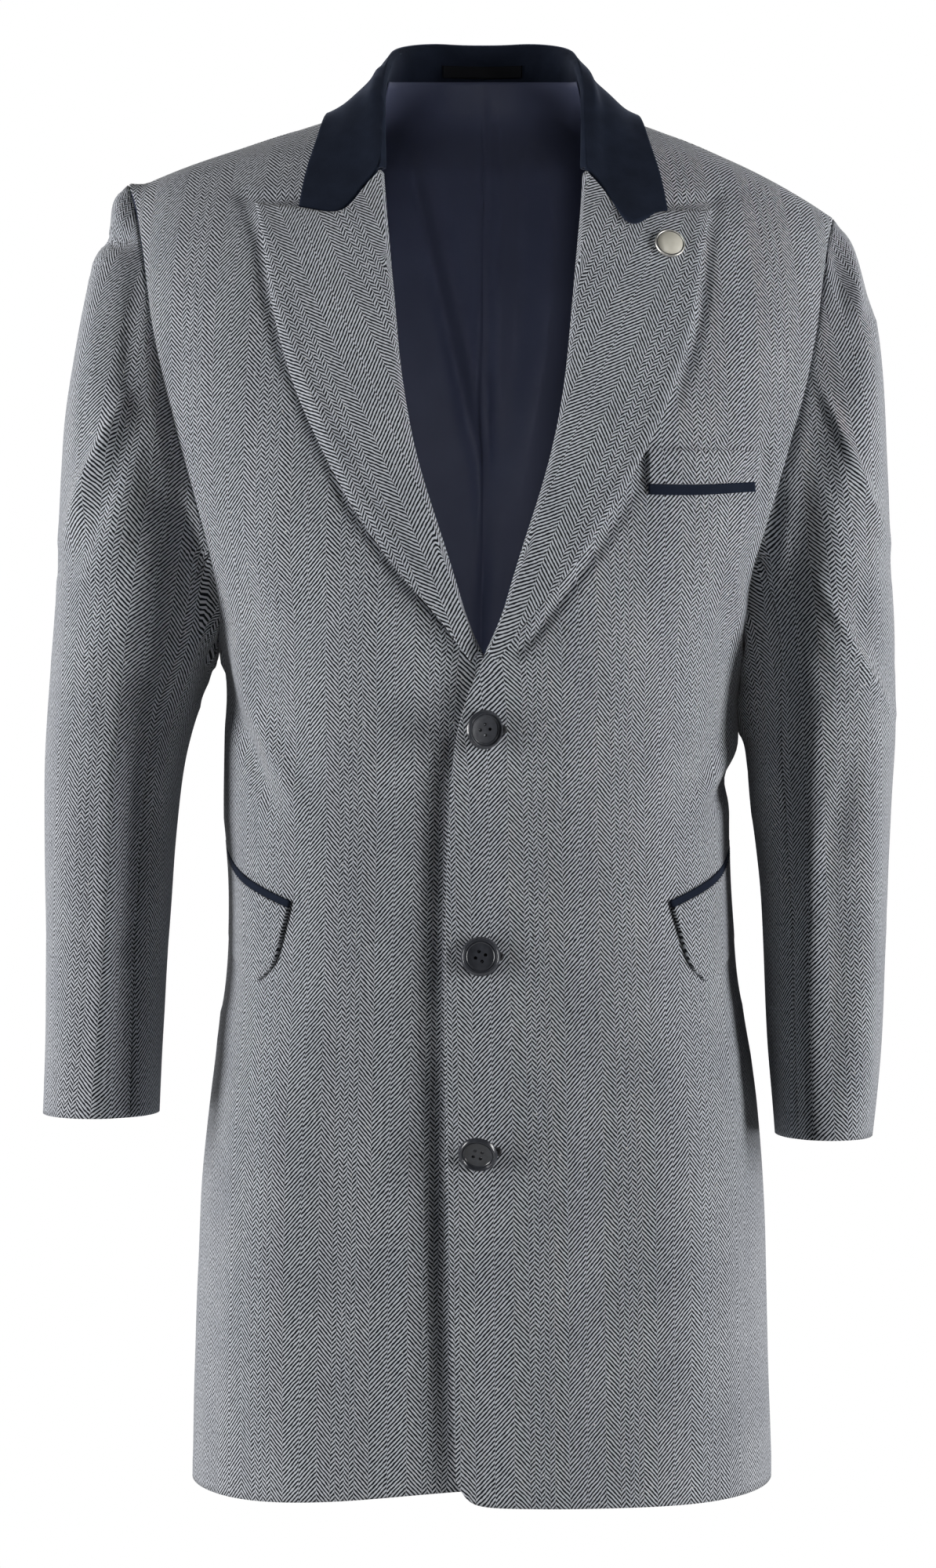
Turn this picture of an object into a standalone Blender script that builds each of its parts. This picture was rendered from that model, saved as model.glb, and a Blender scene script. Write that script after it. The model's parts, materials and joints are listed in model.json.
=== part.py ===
"""Three-quarter overcoat in herringbone tweed, with a velvet collar, in its worn, hollow form.

Sizes are in millimetres and become metres when a mesh is made.
+X is the wearer's left, the front faces -Y and +Z is up.
The origin is the middle of the neck base, where the wearer's neck and shoulders hold the coat.
Each cloth piece is a thin closed wall: a grid of points on its outer face, and the same grid moved in.
"""

import math
from collections import namedtuple

import bmesh
import bpy
import numpy as np
from mathutils import Matrix, Vector

# Scale and names
MM = 0.001
COAT_NAME = "tweed_overcoat"
LEFT = 1
RIGHT = -1
SIDE_NAMES = {LEFT: "left", RIGHT: "right"}

# Cloth and clearances
TWEED_WALL = 2.0
VELVET_WALL = 2.4
TRIM_WALL = 1.6
LINING_WALL = 1.0
LOOP_WALL = 1.2
SEAM_GAP = 0.3
LAID_ON_GAP = 0.9

# Main levels
HEM_Z = -910.0
UNDERARM_Z = -360.0
SHOULDER_POINT_OUT = 235.0
SHOULDER_POINT_Z = -61.0
NECK_POINT_Z = 2.0
NECK_POINT_OUT = 80.4
BREAK_Z = -366.0

# Posture: the wearer's left shoulder hangs a little lower, fading out down to the underarm
LEAN = 0.041
LEAN_FULL_Z = -120.0

# Body rings: half width, depth in front of and behind the side line, the side line's place, sideways shift
BodyRing = namedtuple("BodyRing", "z half_width front_depth back_depth side_y shift_x")
BODY_RINGS = (
    BodyRing(-920, 193.0, 160, 150, 0, -1.0),
    BodyRing(-829, 192.0, 158, 148, 0, -1.0),
    BodyRing(-724, 188.7, 155, 144, 0, -0.5),
    BodyRing(-640, 180.6, 152, 138, 2, 0.0),
    BodyRing(-598, 173.5, 150, 133, 3, -1.0),
    BodyRing(-556, 171.4, 148, 128, 4, -1.3),
    BodyRing(-451, 168.8, 146, 122, 8, -4.5),
    BodyRing(-400, 170.2, 147, 126.5, 6, -3.0),
    BodyRing(-360, 175.0, 147, 132, 4, -1.0),
    BodyRing(-330, 184.0, 146, 135, 4, -0.4),
    BodyRing(-295, 198.0, 143, 138.5, 4, 0.0),
    BodyRing(-262, 211.0, 138, 141, 5, 0.0),
    BodyRing(-227, 222.0, 131, 143.5, 6, 0.0),
    BodyRing(-187, 231.0, 122, 144, 8, 0.0),
    BodyRing(-145, 237.0, 110, 141, 9, 0.0),
    BodyRing(-110, 240.0, 98, 136, 10, 0.0),
    BodyRing(-85, 241.0, 88, 130, 10, 0.0),
    BodyRing(-61, 241.0, 77, 123, 10, 0.0),
    BodyRing(-30, 239.0, 64, 111, 9, 0.0),
    BodyRing(0, 232.0, 52, 98, 8, 0.0),
    BodyRing(18, 225.0, 46, 90, 7, 0.0),
    BodyRing(40, 215.0, 40, 83, 7, 0.0),
)
RING_SQUARENESS = 2.35

# Shoulder ridge: how high it stands at each distance out, steep beside the neck, then sloping to the shoulder
RidgePoint = namedtuple("RidgePoint", "out z")
SHOULDER_RIDGE = (
    RidgePoint(0, 230),
    RidgePoint(40, 100),
    RidgePoint(66, 32),
    RidgePoint(78, 3),
    RidgePoint(104, -6.5),
    RidgePoint(140, -19),
    RidgePoint(200, -42.5),
    RidgePoint(235, -61),
    RidgePoint(270, -80),
)
SHOULDER_ROUNDING = 100.0
NORMAL_STEP = 0.5
FAN_STEPS = 12
PanelRow = namedtuple("PanelRow", "z fan")

# Front edge of each front, then the roll line of its lapel, then the neckline; minus is across the centre
FrontEdge = namedtuple("FrontEdge", "z out")
FRONT_EDGE = (
    FrontEdge(-920, -17.0),
    FrontEdge(-760, -21.0),
    FrontEdge(-600, -24.4),
    FrontEdge(-500, -23.0),
    FrontEdge(-428, -17.4),
    FrontEdge(-398, -7.0),
    FrontEdge(-371, 0.0),
    FrontEdge(-355, 7.4),
    FrontEdge(-325, 18.0),
    FrontEdge(-290, 29.0),
    FrontEdge(-255, 40.0),
    FrontEdge(-222, 48.0),
    FrontEdge(-178, 54.8),
    FrontEdge(-105, 61.5),
    FrontEdge(-50, 66.5),
    FrontEdge(-30, 68.0),
    FrontEdge(-15, 70.5),
    FrontEdge(3, 75.9),
)
ROLL_SETBACK = 4.5
ROLL_SETBACK_FROM_Z = -385.0
OVERLAP_LIFT = 5.5
OVERLAP_END_Z = (-345.0, -250.0)
OVERLAP_FADE_FROM = 20.0
OVERLAP_FADE_TO = 95.0
FRONT_HEM_LIFT = {LEFT: 5.5, RIGHT: 16.0}
FRONT_HEM_REACH = 190.0
FRONT_HEM_HEIGHT = 130.0
FRONT_CORNER_RADIUS = 16.0

# Armhole seam on the front and on the back of the body
ArmholeRow = namedtuple("ArmholeRow", "z front_out back_out")
ARMHOLE = (
    ArmholeRow(-360, 175.0, 175.0),
    ArmholeRow(-345, 171.5, 176.5),
    ArmholeRow(-325, 174.0, 181.0),
    ArmholeRow(-295, 180.0, 188.0),
    ArmholeRow(-262, 189.5, 196.0),
    ArmholeRow(-227, 199.5, 204.0),
    ArmholeRow(-187, 210.5, 213.0),
    ArmholeRow(-145, 219.5, 221.0),
    ArmholeRow(-110, 226.0, 227.0),
    ArmholeRow(-85, 230.0, 231.0),
    ArmholeRow(-70, 233.0, 233.5),
    ArmholeRow(-61, 235.0, 235.0),
)
UNDERARM_GAP = 0.8
UNDERARM_BLEND = 0.3
SLEEVE_SEAM_RUN = 0.07

# Back neckline above the neck points
BackNeck = namedtuple("BackNeck", "out z")
BACK_NECKLINE = (
    BackNeck(0.0, 31.0),
    BackNeck(30.0, 30.8),
    BackNeck(46.0, 30.0),
    BackNeck(58.0, 25.0),
    BackNeck(66.0, 18.0),
    BackNeck(72.0, 11.5),
    BackNeck(77.0, 5.1),
    BackNeck(80.4, 2.0),
)

# Level sections of each sleeve: how far out its outer and inner sides stand, and its front and back
SleeveSection = namedtuple("SleeveSection", "z outer inner front_y back_y")
SLEEVES = {
    RIGHT: (
        SleeveSection(-700, 291.0, 214.5, -91, 19),
        SleeveSection(-620, 289.5, 211.5, -84, 36),
        SleeveSection(-535, 290.5, 207.5, -77, 52),
        SleeveSection(-450, 292.5, 201.0, -73, 67),
        SleeveSection(-400, 290.5, 192.5, -75, 76),
        SleeveSection(-360, 287.5, 178.0, -78, 80),
        SleeveSection(-304, 284.0, 178.0, -80, 82),
        SleeveSection(-245, 282.0, 184.0, -78, 82),
        SleeveSection(-206, 278.8, 190.0, -73, 80),
        SleeveSection(-166, 272.5, 197.0, -65, 75),
        SleeveSection(-126, 266.0, 206.0, -53, 67),
        SleeveSection(-95, 260.0, 214.0, -36, 55),
        SleeveSection(-74, 254.0, 222.0, -18, 40),
        SleeveSection(-61, 246.0, 228.0, 2, 22),
    ),
    LEFT: (
        SleeveSection(-700, 254.0, 193.0, -91, 17),
        SleeveSection(-620, 262.5, 188.0, -86, 34),
        SleeveSection(-535, 267.0, 184.5, -80, 51),
        SleeveSection(-450, 272.5, 177.0, -76, 66),
        SleeveSection(-400, 275.5, 174.5, -77, 76),
        SleeveSection(-360, 275.5, 177.0, -79, 80),
        SleeveSection(-304, 272.0, 178.0, -80, 82),
        SleeveSection(-245, 271.0, 184.0, -78, 82),
        SleeveSection(-206, 269.0, 190.0, -73, 80),
        SleeveSection(-166, 267.5, 197.0, -65, 75),
        SleeveSection(-126, 264.5, 206.0, -53, 67),
        SleeveSection(-95, 260.0, 214.0, -36, 55),
        SleeveSection(-74, 254.0, 222.0, -18, 40),
        SleeveSection(-61, 246.0, 228.0, 2, 22),
    ),
}
CUFF_Z = {RIGHT: -668.0, LEFT: -682.0}
SLEEVE_HEAD_RUN = 0.34
SLEEVE_HEAD_FULLNESS = 8.0
UNDERARM_FULLNESS = 3.0
SLEEVE_SEAM_HALF_GAP = math.radians(0.16)

# Lapel: its outer edge from the break up to the peak, and the fold round the front's edge
LapelEdge = namedtuple("LapelEdge", "z out")
LAPEL_EDGE = (
    LapelEdge(-372, 8.0),
    LapelEdge(-348, 25.0),
    LapelEdge(-318, 52.0),
    LapelEdge(-266, 87.0),
    LapelEdge(-233, 104.0),
    LapelEdge(-203, 118.0),
    LapelEdge(-165, 130.0),
    LapelEdge(-125, 138.5),
    LapelEdge(-96, 142.0),
    LapelEdge(-74, 148.0),
)
LapelFold = namedtuple("LapelFold", "along height")
LAPEL_FOLD = (
    LapelFold(9.0, -5.4),
    LapelFold(2.4, -4.8),
    LapelFold(-0.4, -1.0),
)
LAPEL_FOLD_TOP = 2.4
LAPEL_HEIGHT = 2.2
LAPEL_EDGE_RISE = 1.6
LAPEL_BELLY = 2.2
LAPEL_BREAK_SLIMNESS = 0.4
LAPEL_BREAK_SHARE = 0.2
LAPEL_TOP_SHARPNESS = 6

# Gorge: the seam of collar and lapel from the roll line, then the collar's end, then on to the lapel's peak
GorgePoint = namedtuple("GorgePoint", "share out z")
GORGE = (
    GorgePoint(0.0, 66.5, -50.0),
    GorgePoint(0.2, 78.0, -64.0),
    GorgePoint(0.42, 93.0, -83.0),
    GorgePoint(0.68, 119.5, -77.5),
    GorgePoint(1.0, 148.0, -74.0),
)
COLLAR_END_SHARE = 0.68
GORGE_GAP = 2.2

# Collar sections from the centre back to the gorge: neck seam, top of the roll, outer edge of the fall
CollarSection = namedtuple("CollarSection", "seam roll fall")
COLLAR_SECTIONS = (
    CollarSection((0, 88, 27), (0, 89, 59.5), (0, 106, 4)),
    CollarSection((28, 84, 27), (30, 84, 59.5), (43, 103, 2)),
    CollarSection((50, 65, 24), (51, 67, 55), (78, 86, -12)),
    CollarSection((63, 41, 14), (61, 42, 46), (92, 50, -13)),
    CollarSection((73, 10, 0), (64.5, 11, 32), (101, 8, -5)),
    CollarSection((72, -14, -11), (67, -15, 12), (109, -26, -26)),
    CollarSection((69.5, -34, -28), (67, -38, -16), (116, -46, -54)),
    CollarSection((67, -50, -48), (66.5, -57, -47), (119.5, -60, -77.5)),
)
COLLAR_STATIONS_PER_SECTION = 2
COLLAR_STAND_POINTS = 4
COLLAR_FALL_POINTS = 6
COLLAR_ROLL_INSET = 4.0
COLLAR_ROLL_DROP = 1.5
COLLAR_BULGE_OUT = 0.3
COLLAR_BULGE_DOWN = 0.33

# Largest folds: soft troughs along a line seen from the front
Fold = namedtuple("Fold", "side out_from z_from out_to z_to half_width depth")
BODY_FOLDS = (
    Fold(RIGHT, 172, -372, 128, -470, 20, 6.0),
    Fold(LEFT, 170, -432, 126, -452, 16, 7.0),
    Fold(LEFT, 150, -330, 118, -420, 22, 3.0),
)
SLEEVE_FOLDS = (
    Fold(RIGHT, 252, -208, 282, -288, 18, 4.0),
    Fold(RIGHT, 214, -372, 262, -420, 18, 4.0),
    Fold(LEFT, 236, -176, 270, -288, 18, 4.5),
    Fold(LEFT, 244, -326, 276, -405, 18, 5.0),
    Fold(LEFT, 196, -452, 240, -476, 18, 4.0),
)
FOLD_END_FADE = 0.22

# Pockets
HIP_MOUTH_OUT = 122.0
HIP_MOUTH_Z = -531.0
HIP_MOUTH_LENGTH = 122.0
HIP_SLANT = math.radians(18)
HIP_FLAP_DROP = 54.0
HIP_FLAP_CORNER = 12.0
HIP_TRIM_HEIGHT = 4.6
HIP_SIDE_CLEARANCE = 0.02
CHEST_WELT_FROM = 104.7
CHEST_WELT_TO = 178.0
CHEST_WELT_TOP_Z = -239.0
CHEST_WELT_HEIGHT = 21.0
# The outer end is set higher, so that the pocket looks level on the lower shoulder.
CHEST_WELT_RISE = 5.0
CHEST_TRIM_HEIGHT = 6.5

# Buttons and pin
# Distance out and height, then how far the face is turned aside and down on its thread, in degrees
BUTTON_PLACES = ((-0.1, -416.5, 24, 0), (-2.1, -560.5, 0, 0), (-3.6, -683.0, -8, 32))
BUTTON_RADIUS = 12.5
BUTTON_THICKNESS = 4.4
BUTTON_RIM = 2.6
BUTTON_DISH = 1.3
BUTTON_ROUNDING = 0.5
BUTTON_STEPS = 24
PIN_OUT = 119.5
PIN_Z = -103.0
PIN_SEAT_HEIGHT = 4.7
PIN_RADIUS = 10.2
PIN_THICKNESS = 2.6
PIN_RIM = 1.3
PIN_ROUNDING = 0.4
PIN_STEPS = 28

# Lining and hanger loop
LINING_INSET = 6.0
LINING_BOTTOM_Z = -875.0
LINING_TOP_MARGIN = 8.0
LINING_SIDE_MARGIN = 8.0
LINING_PLEAT = 2.2
LOOP_HALF_STATIONS = 0.95
LOOP_STAND_SHARES = (0.18, 0.36)

# Grid fineness
ARC_MARGIN = 0.2
ARC_SAMPLES = 200
FRONT_COLUMNS = (0.0, 0.025, 0.07, 0.15, 0.25, 0.36, 0.47, 0.58, 0.68, 0.78, 0.87, 0.94, 1.0)
SKIRT_ROWS = 15
CHEST_ROWS = 14
FAN_ROWS = 6
SLEEVE_SEAM_STATION = 10
BACK_COLUMNS = 8
NECK_COLUMN = 4
SLEEVE_ROWS = 16
SLEEVE_ROW_CROWDING = 1.2
LAPEL_ROWS = 14
LAPEL_SHARES = (0.0, 0.1, 0.22, 0.36, 0.5, 0.66, 0.82, 1.0)
LINING_PLEAT_TURN = 0.03
FLAP_COLUMNS = 7
FLAP_ROWS = 4
WELT_COLUMNS = 7
WELT_ROWS = 2

SHARP_ANGLE = math.radians(50)
WELD_DISTANCE = 0.00001

# Finishes: colour (linear), roughness, metallic
Finish = namedtuple("Finish", "color roughness metallic")
FINISHES = {
    "tweed": Finish((0.115, 0.118, 0.128, 1.0), 0.9, 0.0),
    "velvet": Finish((0.006, 0.008, 0.013, 1.0), 0.85, 0.0),
    "satin": Finish((0.010, 0.012, 0.025, 1.0), 0.4, 0.0),
    "button": Finish((0.008, 0.008, 0.009, 1.0), 0.2, 0.0),
    "pin": Finish((0.62, 0.60, 0.55, 1.0), 0.3, 0.6),
}


# Curves and easing
def smooth_curve(stations, values):
    """A function that runs smoothly through the values and never overshoots them."""
    at = np.asarray(stations, dtype=float)
    value = np.asarray(values, dtype=float)
    step = np.diff(at)
    slope = np.diff(value) / step
    tangent = np.zeros(len(at))
    tangent[0] = slope[0]
    tangent[-1] = slope[-1]
    for k in range(1, len(at) - 1):
        if slope[k - 1] * slope[k] > 0:
            before = 2 * step[k] + step[k - 1]
            after = step[k] + 2 * step[k - 1]
            tangent[k] = (before + after) / (before / slope[k - 1] + after / slope[k])

    def value_at(place):
        place = min(max(place, at[0]), at[-1])
        k = min(max(int(np.searchsorted(at, place)) - 1, 0), len(step) - 1)
        t = (place - at[k]) / step[k]
        start = value[k] * (1 + 2 * t) * (1 - t) ** 2 + tangent[k] * step[k] * t * (1 - t) ** 2
        end = value[k + 1] * t * t * (3 - 2 * t) - tangent[k + 1] * step[k] * t * t * (1 - t)
        return start + end

    return value_at


def columns_of(table):
    """One smooth curve over z for each named column of a table."""
    rows = sorted(table, key=lambda row: row.z)
    names = [name for name in rows[0]._fields if name != "z"]
    levels = [row.z for row in rows]
    return {name: smooth_curve(levels, [getattr(row, name) for row in rows]) for name in names}


def ease(value, start, end):
    """Rise smoothly from 0 at start to 1 at end."""
    share = min(max((value - start) / (end - start), 0.0), 1.0)
    return share * share * (3 - 2 * share)


BODY = columns_of(BODY_RINGS)
FRONT_OUT = columns_of(FRONT_EDGE)["out"]
ARMHOLE_OUT = columns_of(ARMHOLE)
BACK_NECK_Z = smooth_curve([p.out for p in BACK_NECKLINE], [p.z for p in BACK_NECKLINE])
LAPEL_OUT = columns_of(LAPEL_EDGE)["out"]
SLEEVE = {side: columns_of(table) for side, table in SLEEVES.items()}
RIDGE_Z = smooth_curve([p.out for p in SHOULDER_RIDGE], [p.z for p in SHOULDER_RIDGE])
GORGE_OUT = smooth_curve([p.share for p in GORGE], [p.out for p in GORGE])
GORGE_Z = smooth_curve([p.share for p in GORGE], [p.z for p in GORGE])


# The coat body as a surface
def body_point(turn, z):
    """Point of the body's outer face; the turn is 0 at the centre front and half a circle at the back."""
    depth = BODY["front_depth"](z) if math.cos(turn) >= 0 else BODY["back_depth"](z)
    across = abs(math.sin(turn)) / BODY["half_width"](z)
    along = abs(math.cos(turn)) / depth
    radius = (across ** RING_SQUARENESS + along ** RING_SQUARENESS) ** (-1 / RING_SQUARENESS)
    out = radius * math.sin(turn)
    below_ridge = min(max((RIDGE_Z(abs(out)) - z) / SHOULDER_ROUNDING, 0.0), 1.0)
    rounding = math.sqrt(1 - (1 - below_ridge) ** 2)
    return np.array([out + BODY["shift_x"](z), BODY["side_y"](z) - radius * math.cos(turn) * rounding, z])


def body_field(point):
    """Below zero inside the body's outer face, zero on it and above zero outside."""
    x, y, z = point
    out = abs(x - BODY["shift_x"](z))
    behind = y - BODY["side_y"](z)
    depth = BODY["front_depth"](z) if behind < 0 else BODY["back_depth"](z)
    share = min(out / BODY["half_width"](z), 1.0)
    breadth = (1 - share ** RING_SQUARENESS) ** (2 / RING_SQUARENESS)
    below_ridge = min((RIDGE_Z(out) - z) / SHOULDER_ROUNDING, 1.0)
    return (behind / depth) ** 2 - breadth * (1 - (1 - below_ridge) ** 2)


def body_normal(turn, z):
    """Outward direction of the body's outer face."""
    here = body_point(turn, z)
    steps = np.eye(3) * NORMAL_STEP
    outward = np.array([body_field(here + step) - body_field(here - step) for step in steps])
    return outward / np.linalg.norm(outward)


def turn_at(out, z, on_front=True):
    """Turn at which the ring at z stands this far out from its middle."""
    depth = BODY["front_depth"](z) if on_front else BODY["back_depth"](z)
    share = min(abs(out) / BODY["half_width"](z), 1.0)
    forward = depth * (1 - share ** RING_SQUARENESS) ** (1 / RING_SQUARENESS)
    return math.copysign(math.atan2(abs(out), forward if on_front else -forward), out)


def trough_depth(folds, side, point, normal):
    """Depth of the folds at a point that faces the front."""
    depth = 0.0
    for fold in folds:
        if fold.side != side:
            continue
        start = np.array([fold.out_from, fold.z_from])
        run = np.array([fold.out_to, fold.z_to]) - start
        place = np.array([side * point[0], point[2]]) - start
        share = min(max(float(place @ run) / float(run @ run), 0.0), 1.0)
        away = np.linalg.norm(place - share * run) / fold.half_width
        fade = ease(share, 0.0, FOLD_END_FADE) * ease(1 - share, 0.0, FOLD_END_FADE)
        depth += fold.depth * fade * math.exp(-away * away)
    return depth * max(0.0, -normal[1])


def overlap_lift(side, out, z):
    """The left front lies over the right one, so it stands out near the centre below the lapels."""
    if side == RIGHT:
        return 0.0
    near_centre = 1 - ease(out, OVERLAP_FADE_FROM, OVERLAP_FADE_TO)
    below_lapels = 1 - ease(z, *OVERLAP_END_Z)
    return OVERLAP_LIFT * near_centre * below_lapels


def front_face(side, turn, z, height=0.0):
    """Point on a front panel's outer face, moved out by a height, with its outward direction."""
    base = body_point(side * turn, z)
    normal = body_normal(side * turn, z)
    rise = height + overlap_lift(side, side * base[0], z) - trough_depth(BODY_FOLDS, side, base, normal)
    return base + normal * rise, normal


def front_face_at(side, out, z, height=0.0):
    """The same, for a point given by its distance out from the centre line."""
    turn = turn_at(out - side * BODY["shift_x"](z), z)
    return front_face(side, turn, z, height)


def clear_of_body(point, distance):
    """Move a point out until it stands this far off the body."""
    for _ in range(3):
        x, y, z = point
        level = min(z, RIDGE_Z(abs(x)) - 1.0)
        turn = turn_at(x - BODY["shift_x"](level), level, on_front=y < BODY["side_y"](level))
        outward = body_normal(turn, level)
        short = distance - float((point - body_point(turn, level)) @ outward)
        if short > 0:
            point = point + outward * short
    return point


def armhole_point(side, turn):
    """Point of the armhole seam; the turn is 0 at the shoulder, a quarter circle at the front."""
    middle = (SHOULDER_POINT_Z + UNDERARM_Z) / 2
    z = middle + (SHOULDER_POINT_Z - middle) * math.cos(turn)
    on_front = math.sin(turn) >= 0
    out = ARMHOLE_OUT["front_out" if on_front else "back_out"](z)
    return body_point(side * turn_at(out, z, on_front), z)


def armhole_seam(side, turn):
    """The seam gap across the armhole edge, towards the sleeve, and the body's outward direction there."""
    small_turn = 0.02
    here = armhole_point(side, turn)
    edge = armhole_point(side, turn + small_turn) - armhole_point(side, turn - small_turn)
    on_front = math.sin(turn) >= 0
    out = ARMHOLE_OUT["front_out" if on_front else "back_out"](here[2])
    outward = body_normal(side * turn_at(out, here[2], on_front), here[2])
    across = np.cross(edge, outward)
    opposite = armhole_point(side, turn + math.pi)
    across *= math.copysign(SEAM_GAP, float(across @ (opposite - here))) / np.linalg.norm(across)
    return across, outward


# Sleeves as a surface
def sleeve_point(side, run, turn):
    """Point of a sleeve's outer face, from the armhole (run 0) to the cuff (run 1)."""
    top = armhole_point(side, turn)
    z = top[2] + (CUFF_Z[side] - top[2]) * run
    read = SLEEVE[side]
    outer, inner = read["outer"](z), read["inner"](z)
    front, back = read["front_y"](z), read["back_y"](z)
    x = side * ((outer + inner) / 2 + (outer - inner) / 2 * math.cos(turn))
    y = (front + back) / 2 - (back - front) / 2 * math.sin(turn)
    fullness = UNDERARM_FULLNESS + (SLEEVE_HEAD_FULLNESS - UNDERARM_FULLNESS) * (1 + math.cos(turn)) / 2
    settled = 1 - (1 - min(run / SLEEVE_HEAD_RUN, 1.0)) ** fullness
    return np.array([top[0] + (x - top[0]) * settled, top[1] + (y - top[1]) * settled, z])


def sleeve_face(side, run, turn):
    """Point of a sleeve with its folds, and its outward direction."""
    small_turn = 0.01
    small_run = 0.004
    around = sleeve_point(side, run, turn + small_turn) - sleeve_point(side, run, turn - small_turn)
    lower = sleeve_point(side, min(run + small_run, 1.0), turn)
    upper = sleeve_point(side, max(run - small_run, 0.0), turn)
    outward = np.cross(around, lower - upper) * side
    outward = outward / np.linalg.norm(outward)
    base = sleeve_point(side, run, turn)
    base = base - outward * trough_depth(SLEEVE_FOLDS, side, base, outward)
    gap, body_outward = armhole_seam(side, turn)
    sewn = ease(math.cos(turn), -UNDERARM_BLEND, UNDERARM_BLEND)
    outward = outward + (body_outward - outward) * sewn * (1 - ease(run, 0.0, SLEEVE_SEAM_RUN))
    beside = np.array([side * UNDERARM_GAP, 0.0, 0.0])
    return base + gap * sewn + beside * (1 - sewn), outward / np.linalg.norm(outward)


# Meshes and objects
def posture(point):
    """Let the shoulders lean, and turn millimetres into metres."""
    towards_shoulder = min(abs(point[0]) / SHOULDER_POINT_OUT, 1.0) ** 2
    drop = LEAN * point[0] * towards_shoulder * ease(point[2], UNDERARM_Z, LEAN_FULL_Z)
    return Vector((point[0], point[1], point[2] - drop)) * MM


def grid_normals(points):
    """Outward direction at each point of a grid, from its neighbours."""
    along_rows, along_columns = np.gradient(points, axis=(0, 1))
    normals = np.cross(along_columns, along_rows)
    return normals / np.linalg.norm(normals, axis=2, keepdims=True)


def finish_material(name, finish):
    material = bpy.data.materials.new(f"{name}_{finish}")
    material.use_nodes = True
    shader = material.node_tree.nodes["Principled BSDF"]
    shader.inputs["Base Color"].default_value = FINISHES[finish].color
    shader.inputs["Roughness"].default_value = FINISHES[finish].roughness
    shader.inputs["Metallic"].default_value = FINISHES[finish].metallic
    return material


def add_object(name, mesh, finish):
    mesh.materials.append(finish_material(name, finish))
    mesh.shade_smooth()
    mesh.set_sharp_from_angle(angle=SHARP_ANGLE)
    piece = bpy.data.objects.new(name, mesh)
    coat.objects.link(piece)
    return piece


def add_wall(name, finish, outer, inner):
    """Make a closed wall between two grids of points: one grid, shaped, then extruded to the other."""
    rows, columns = outer.shape[:2]
    shape = bmesh.new()
    bmesh.ops.create_grid(shape, x_segments=columns - 1, y_segments=rows - 1, size=1.0)
    station = shape.verts.layers.int.new("station")
    for vert in shape.verts:
        row = round((vert.co.y + 1) / 2 * (rows - 1))
        column = round((vert.co.x + 1) / 2 * (columns - 1))
        vert[station] = row * columns + column
        vert.co = posture(outer[row, column])
    grown = bmesh.ops.extrude_face_region(shape, geom=shape.faces[:])
    for vert in grown["geom"]:
        if isinstance(vert, bmesh.types.BMVert):
            row, column = divmod(vert[station], columns)
            vert.co = posture(inner[row, column])
    bmesh.ops.recalc_face_normals(shape, faces=shape.faces[:])
    mesh = bpy.data.meshes.new(name)
    shape.to_mesh(mesh)
    shape.free()
    return add_object(name, mesh, finish)


def add_panel(name, finish, faces, thickness):
    """Make a wall from rows of (outer point, outward direction)."""
    outer = np.array([[point for point, _ in row] for row in faces])
    outward = np.array([[direction for _, direction in row] for row in faces])
    return add_wall(name, finish, outer, outer - outward * thickness)


def add_folded(name, finish, middle, thickness):
    """Make a wall on both sides of a grid of middle points."""
    outward = grid_normals(middle)
    return add_wall(name, finish, middle + outward * thickness / 2, middle - outward * thickness / 2)


def add_turned(name, finish, profile, steps, seat, outward):
    """Turn a profile of (radius, height) from its top to its foot, and set it on a seat."""
    mesh = bpy.data.meshes.new(name)
    shape = bmesh.new()
    corners = [shape.verts.new((radius * MM, 0, height * MM)) for radius, height in profile]
    for upper, lower in zip(corners, corners[1:]):
        shape.edges.new((upper, lower))
    shape.to_mesh(mesh)
    shape.free()
    piece = add_object(name, mesh, finish)
    turn = piece.modifiers.new("turn", "SCREW")
    turn.steps = steps
    turn.render_steps = steps
    turn.use_merge_vertices = True
    turn.merge_threshold = WELD_DISTANCE
    piece.rotation_mode = "QUATERNION"
    piece.rotation_quaternion = Vector(outward).to_track_quat("Z", "Y")
    piece.location = posture(seat)
    return piece


# Body panels
def front_hem_lift(side, from_edge):
    """How far the hem of a front rises towards its edge, and round its corner."""
    lift = FRONT_HEM_LIFT[side] * (1 - ease(from_edge, 0.0, FRONT_HEM_REACH))
    inside = min(max(FRONT_CORNER_RADIUS - from_edge, 0.0), FRONT_CORNER_RADIUS)
    return lift + FRONT_CORNER_RADIUS - math.sqrt(FRONT_CORNER_RADIUS ** 2 - inside ** 2)


def seam_turn(z):
    """Half the seam gap, as a turn, where a front meets a back."""
    return SEAM_GAP / 2 / BODY["half_width"](z)


def panel_rows():
    """Rows of a body panel: its level at the side or armhole, and how far it has fanned up at the middle."""
    rows = [PanelRow(HEM_Z + (UNDERARM_Z - HEM_Z) * k / SKIRT_ROWS, 0.0) for k in range(SKIRT_ROWS + 1)]
    middle = (SHOULDER_POINT_Z + UNDERARM_Z) / 2
    for k in range(1, CHEST_ROWS + 1):
        z = middle - (SHOULDER_POINT_Z - middle) * math.cos(math.pi * k / CHEST_ROWS)
        rows.append(PanelRow(z, max(k - CHEST_ROWS + FAN_ROWS, 0) / FAN_ROWS))
    return rows


def top_edge(out, on_front):
    """Level of a panel's top edge: the shoulder seam, or the neckline between the neck points."""
    if out >= NECK_POINT_OUT:
        return RIDGE_Z(out)
    return NECK_POINT_Z if on_front else BACK_NECK_Z(out)


def row_level(row, fan_from, share, top):
    """Level of a row; the share is 0 at the middle of the coat and 1 at the armhole."""
    if row.fan == 0.0:
        return row.z
    at_armhole = (row.z - fan_from) / (SHOULDER_POINT_Z - fan_from)
    return fan_from + (top - fan_from) * (row.fan + (at_armhole - row.fan) * share)


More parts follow.
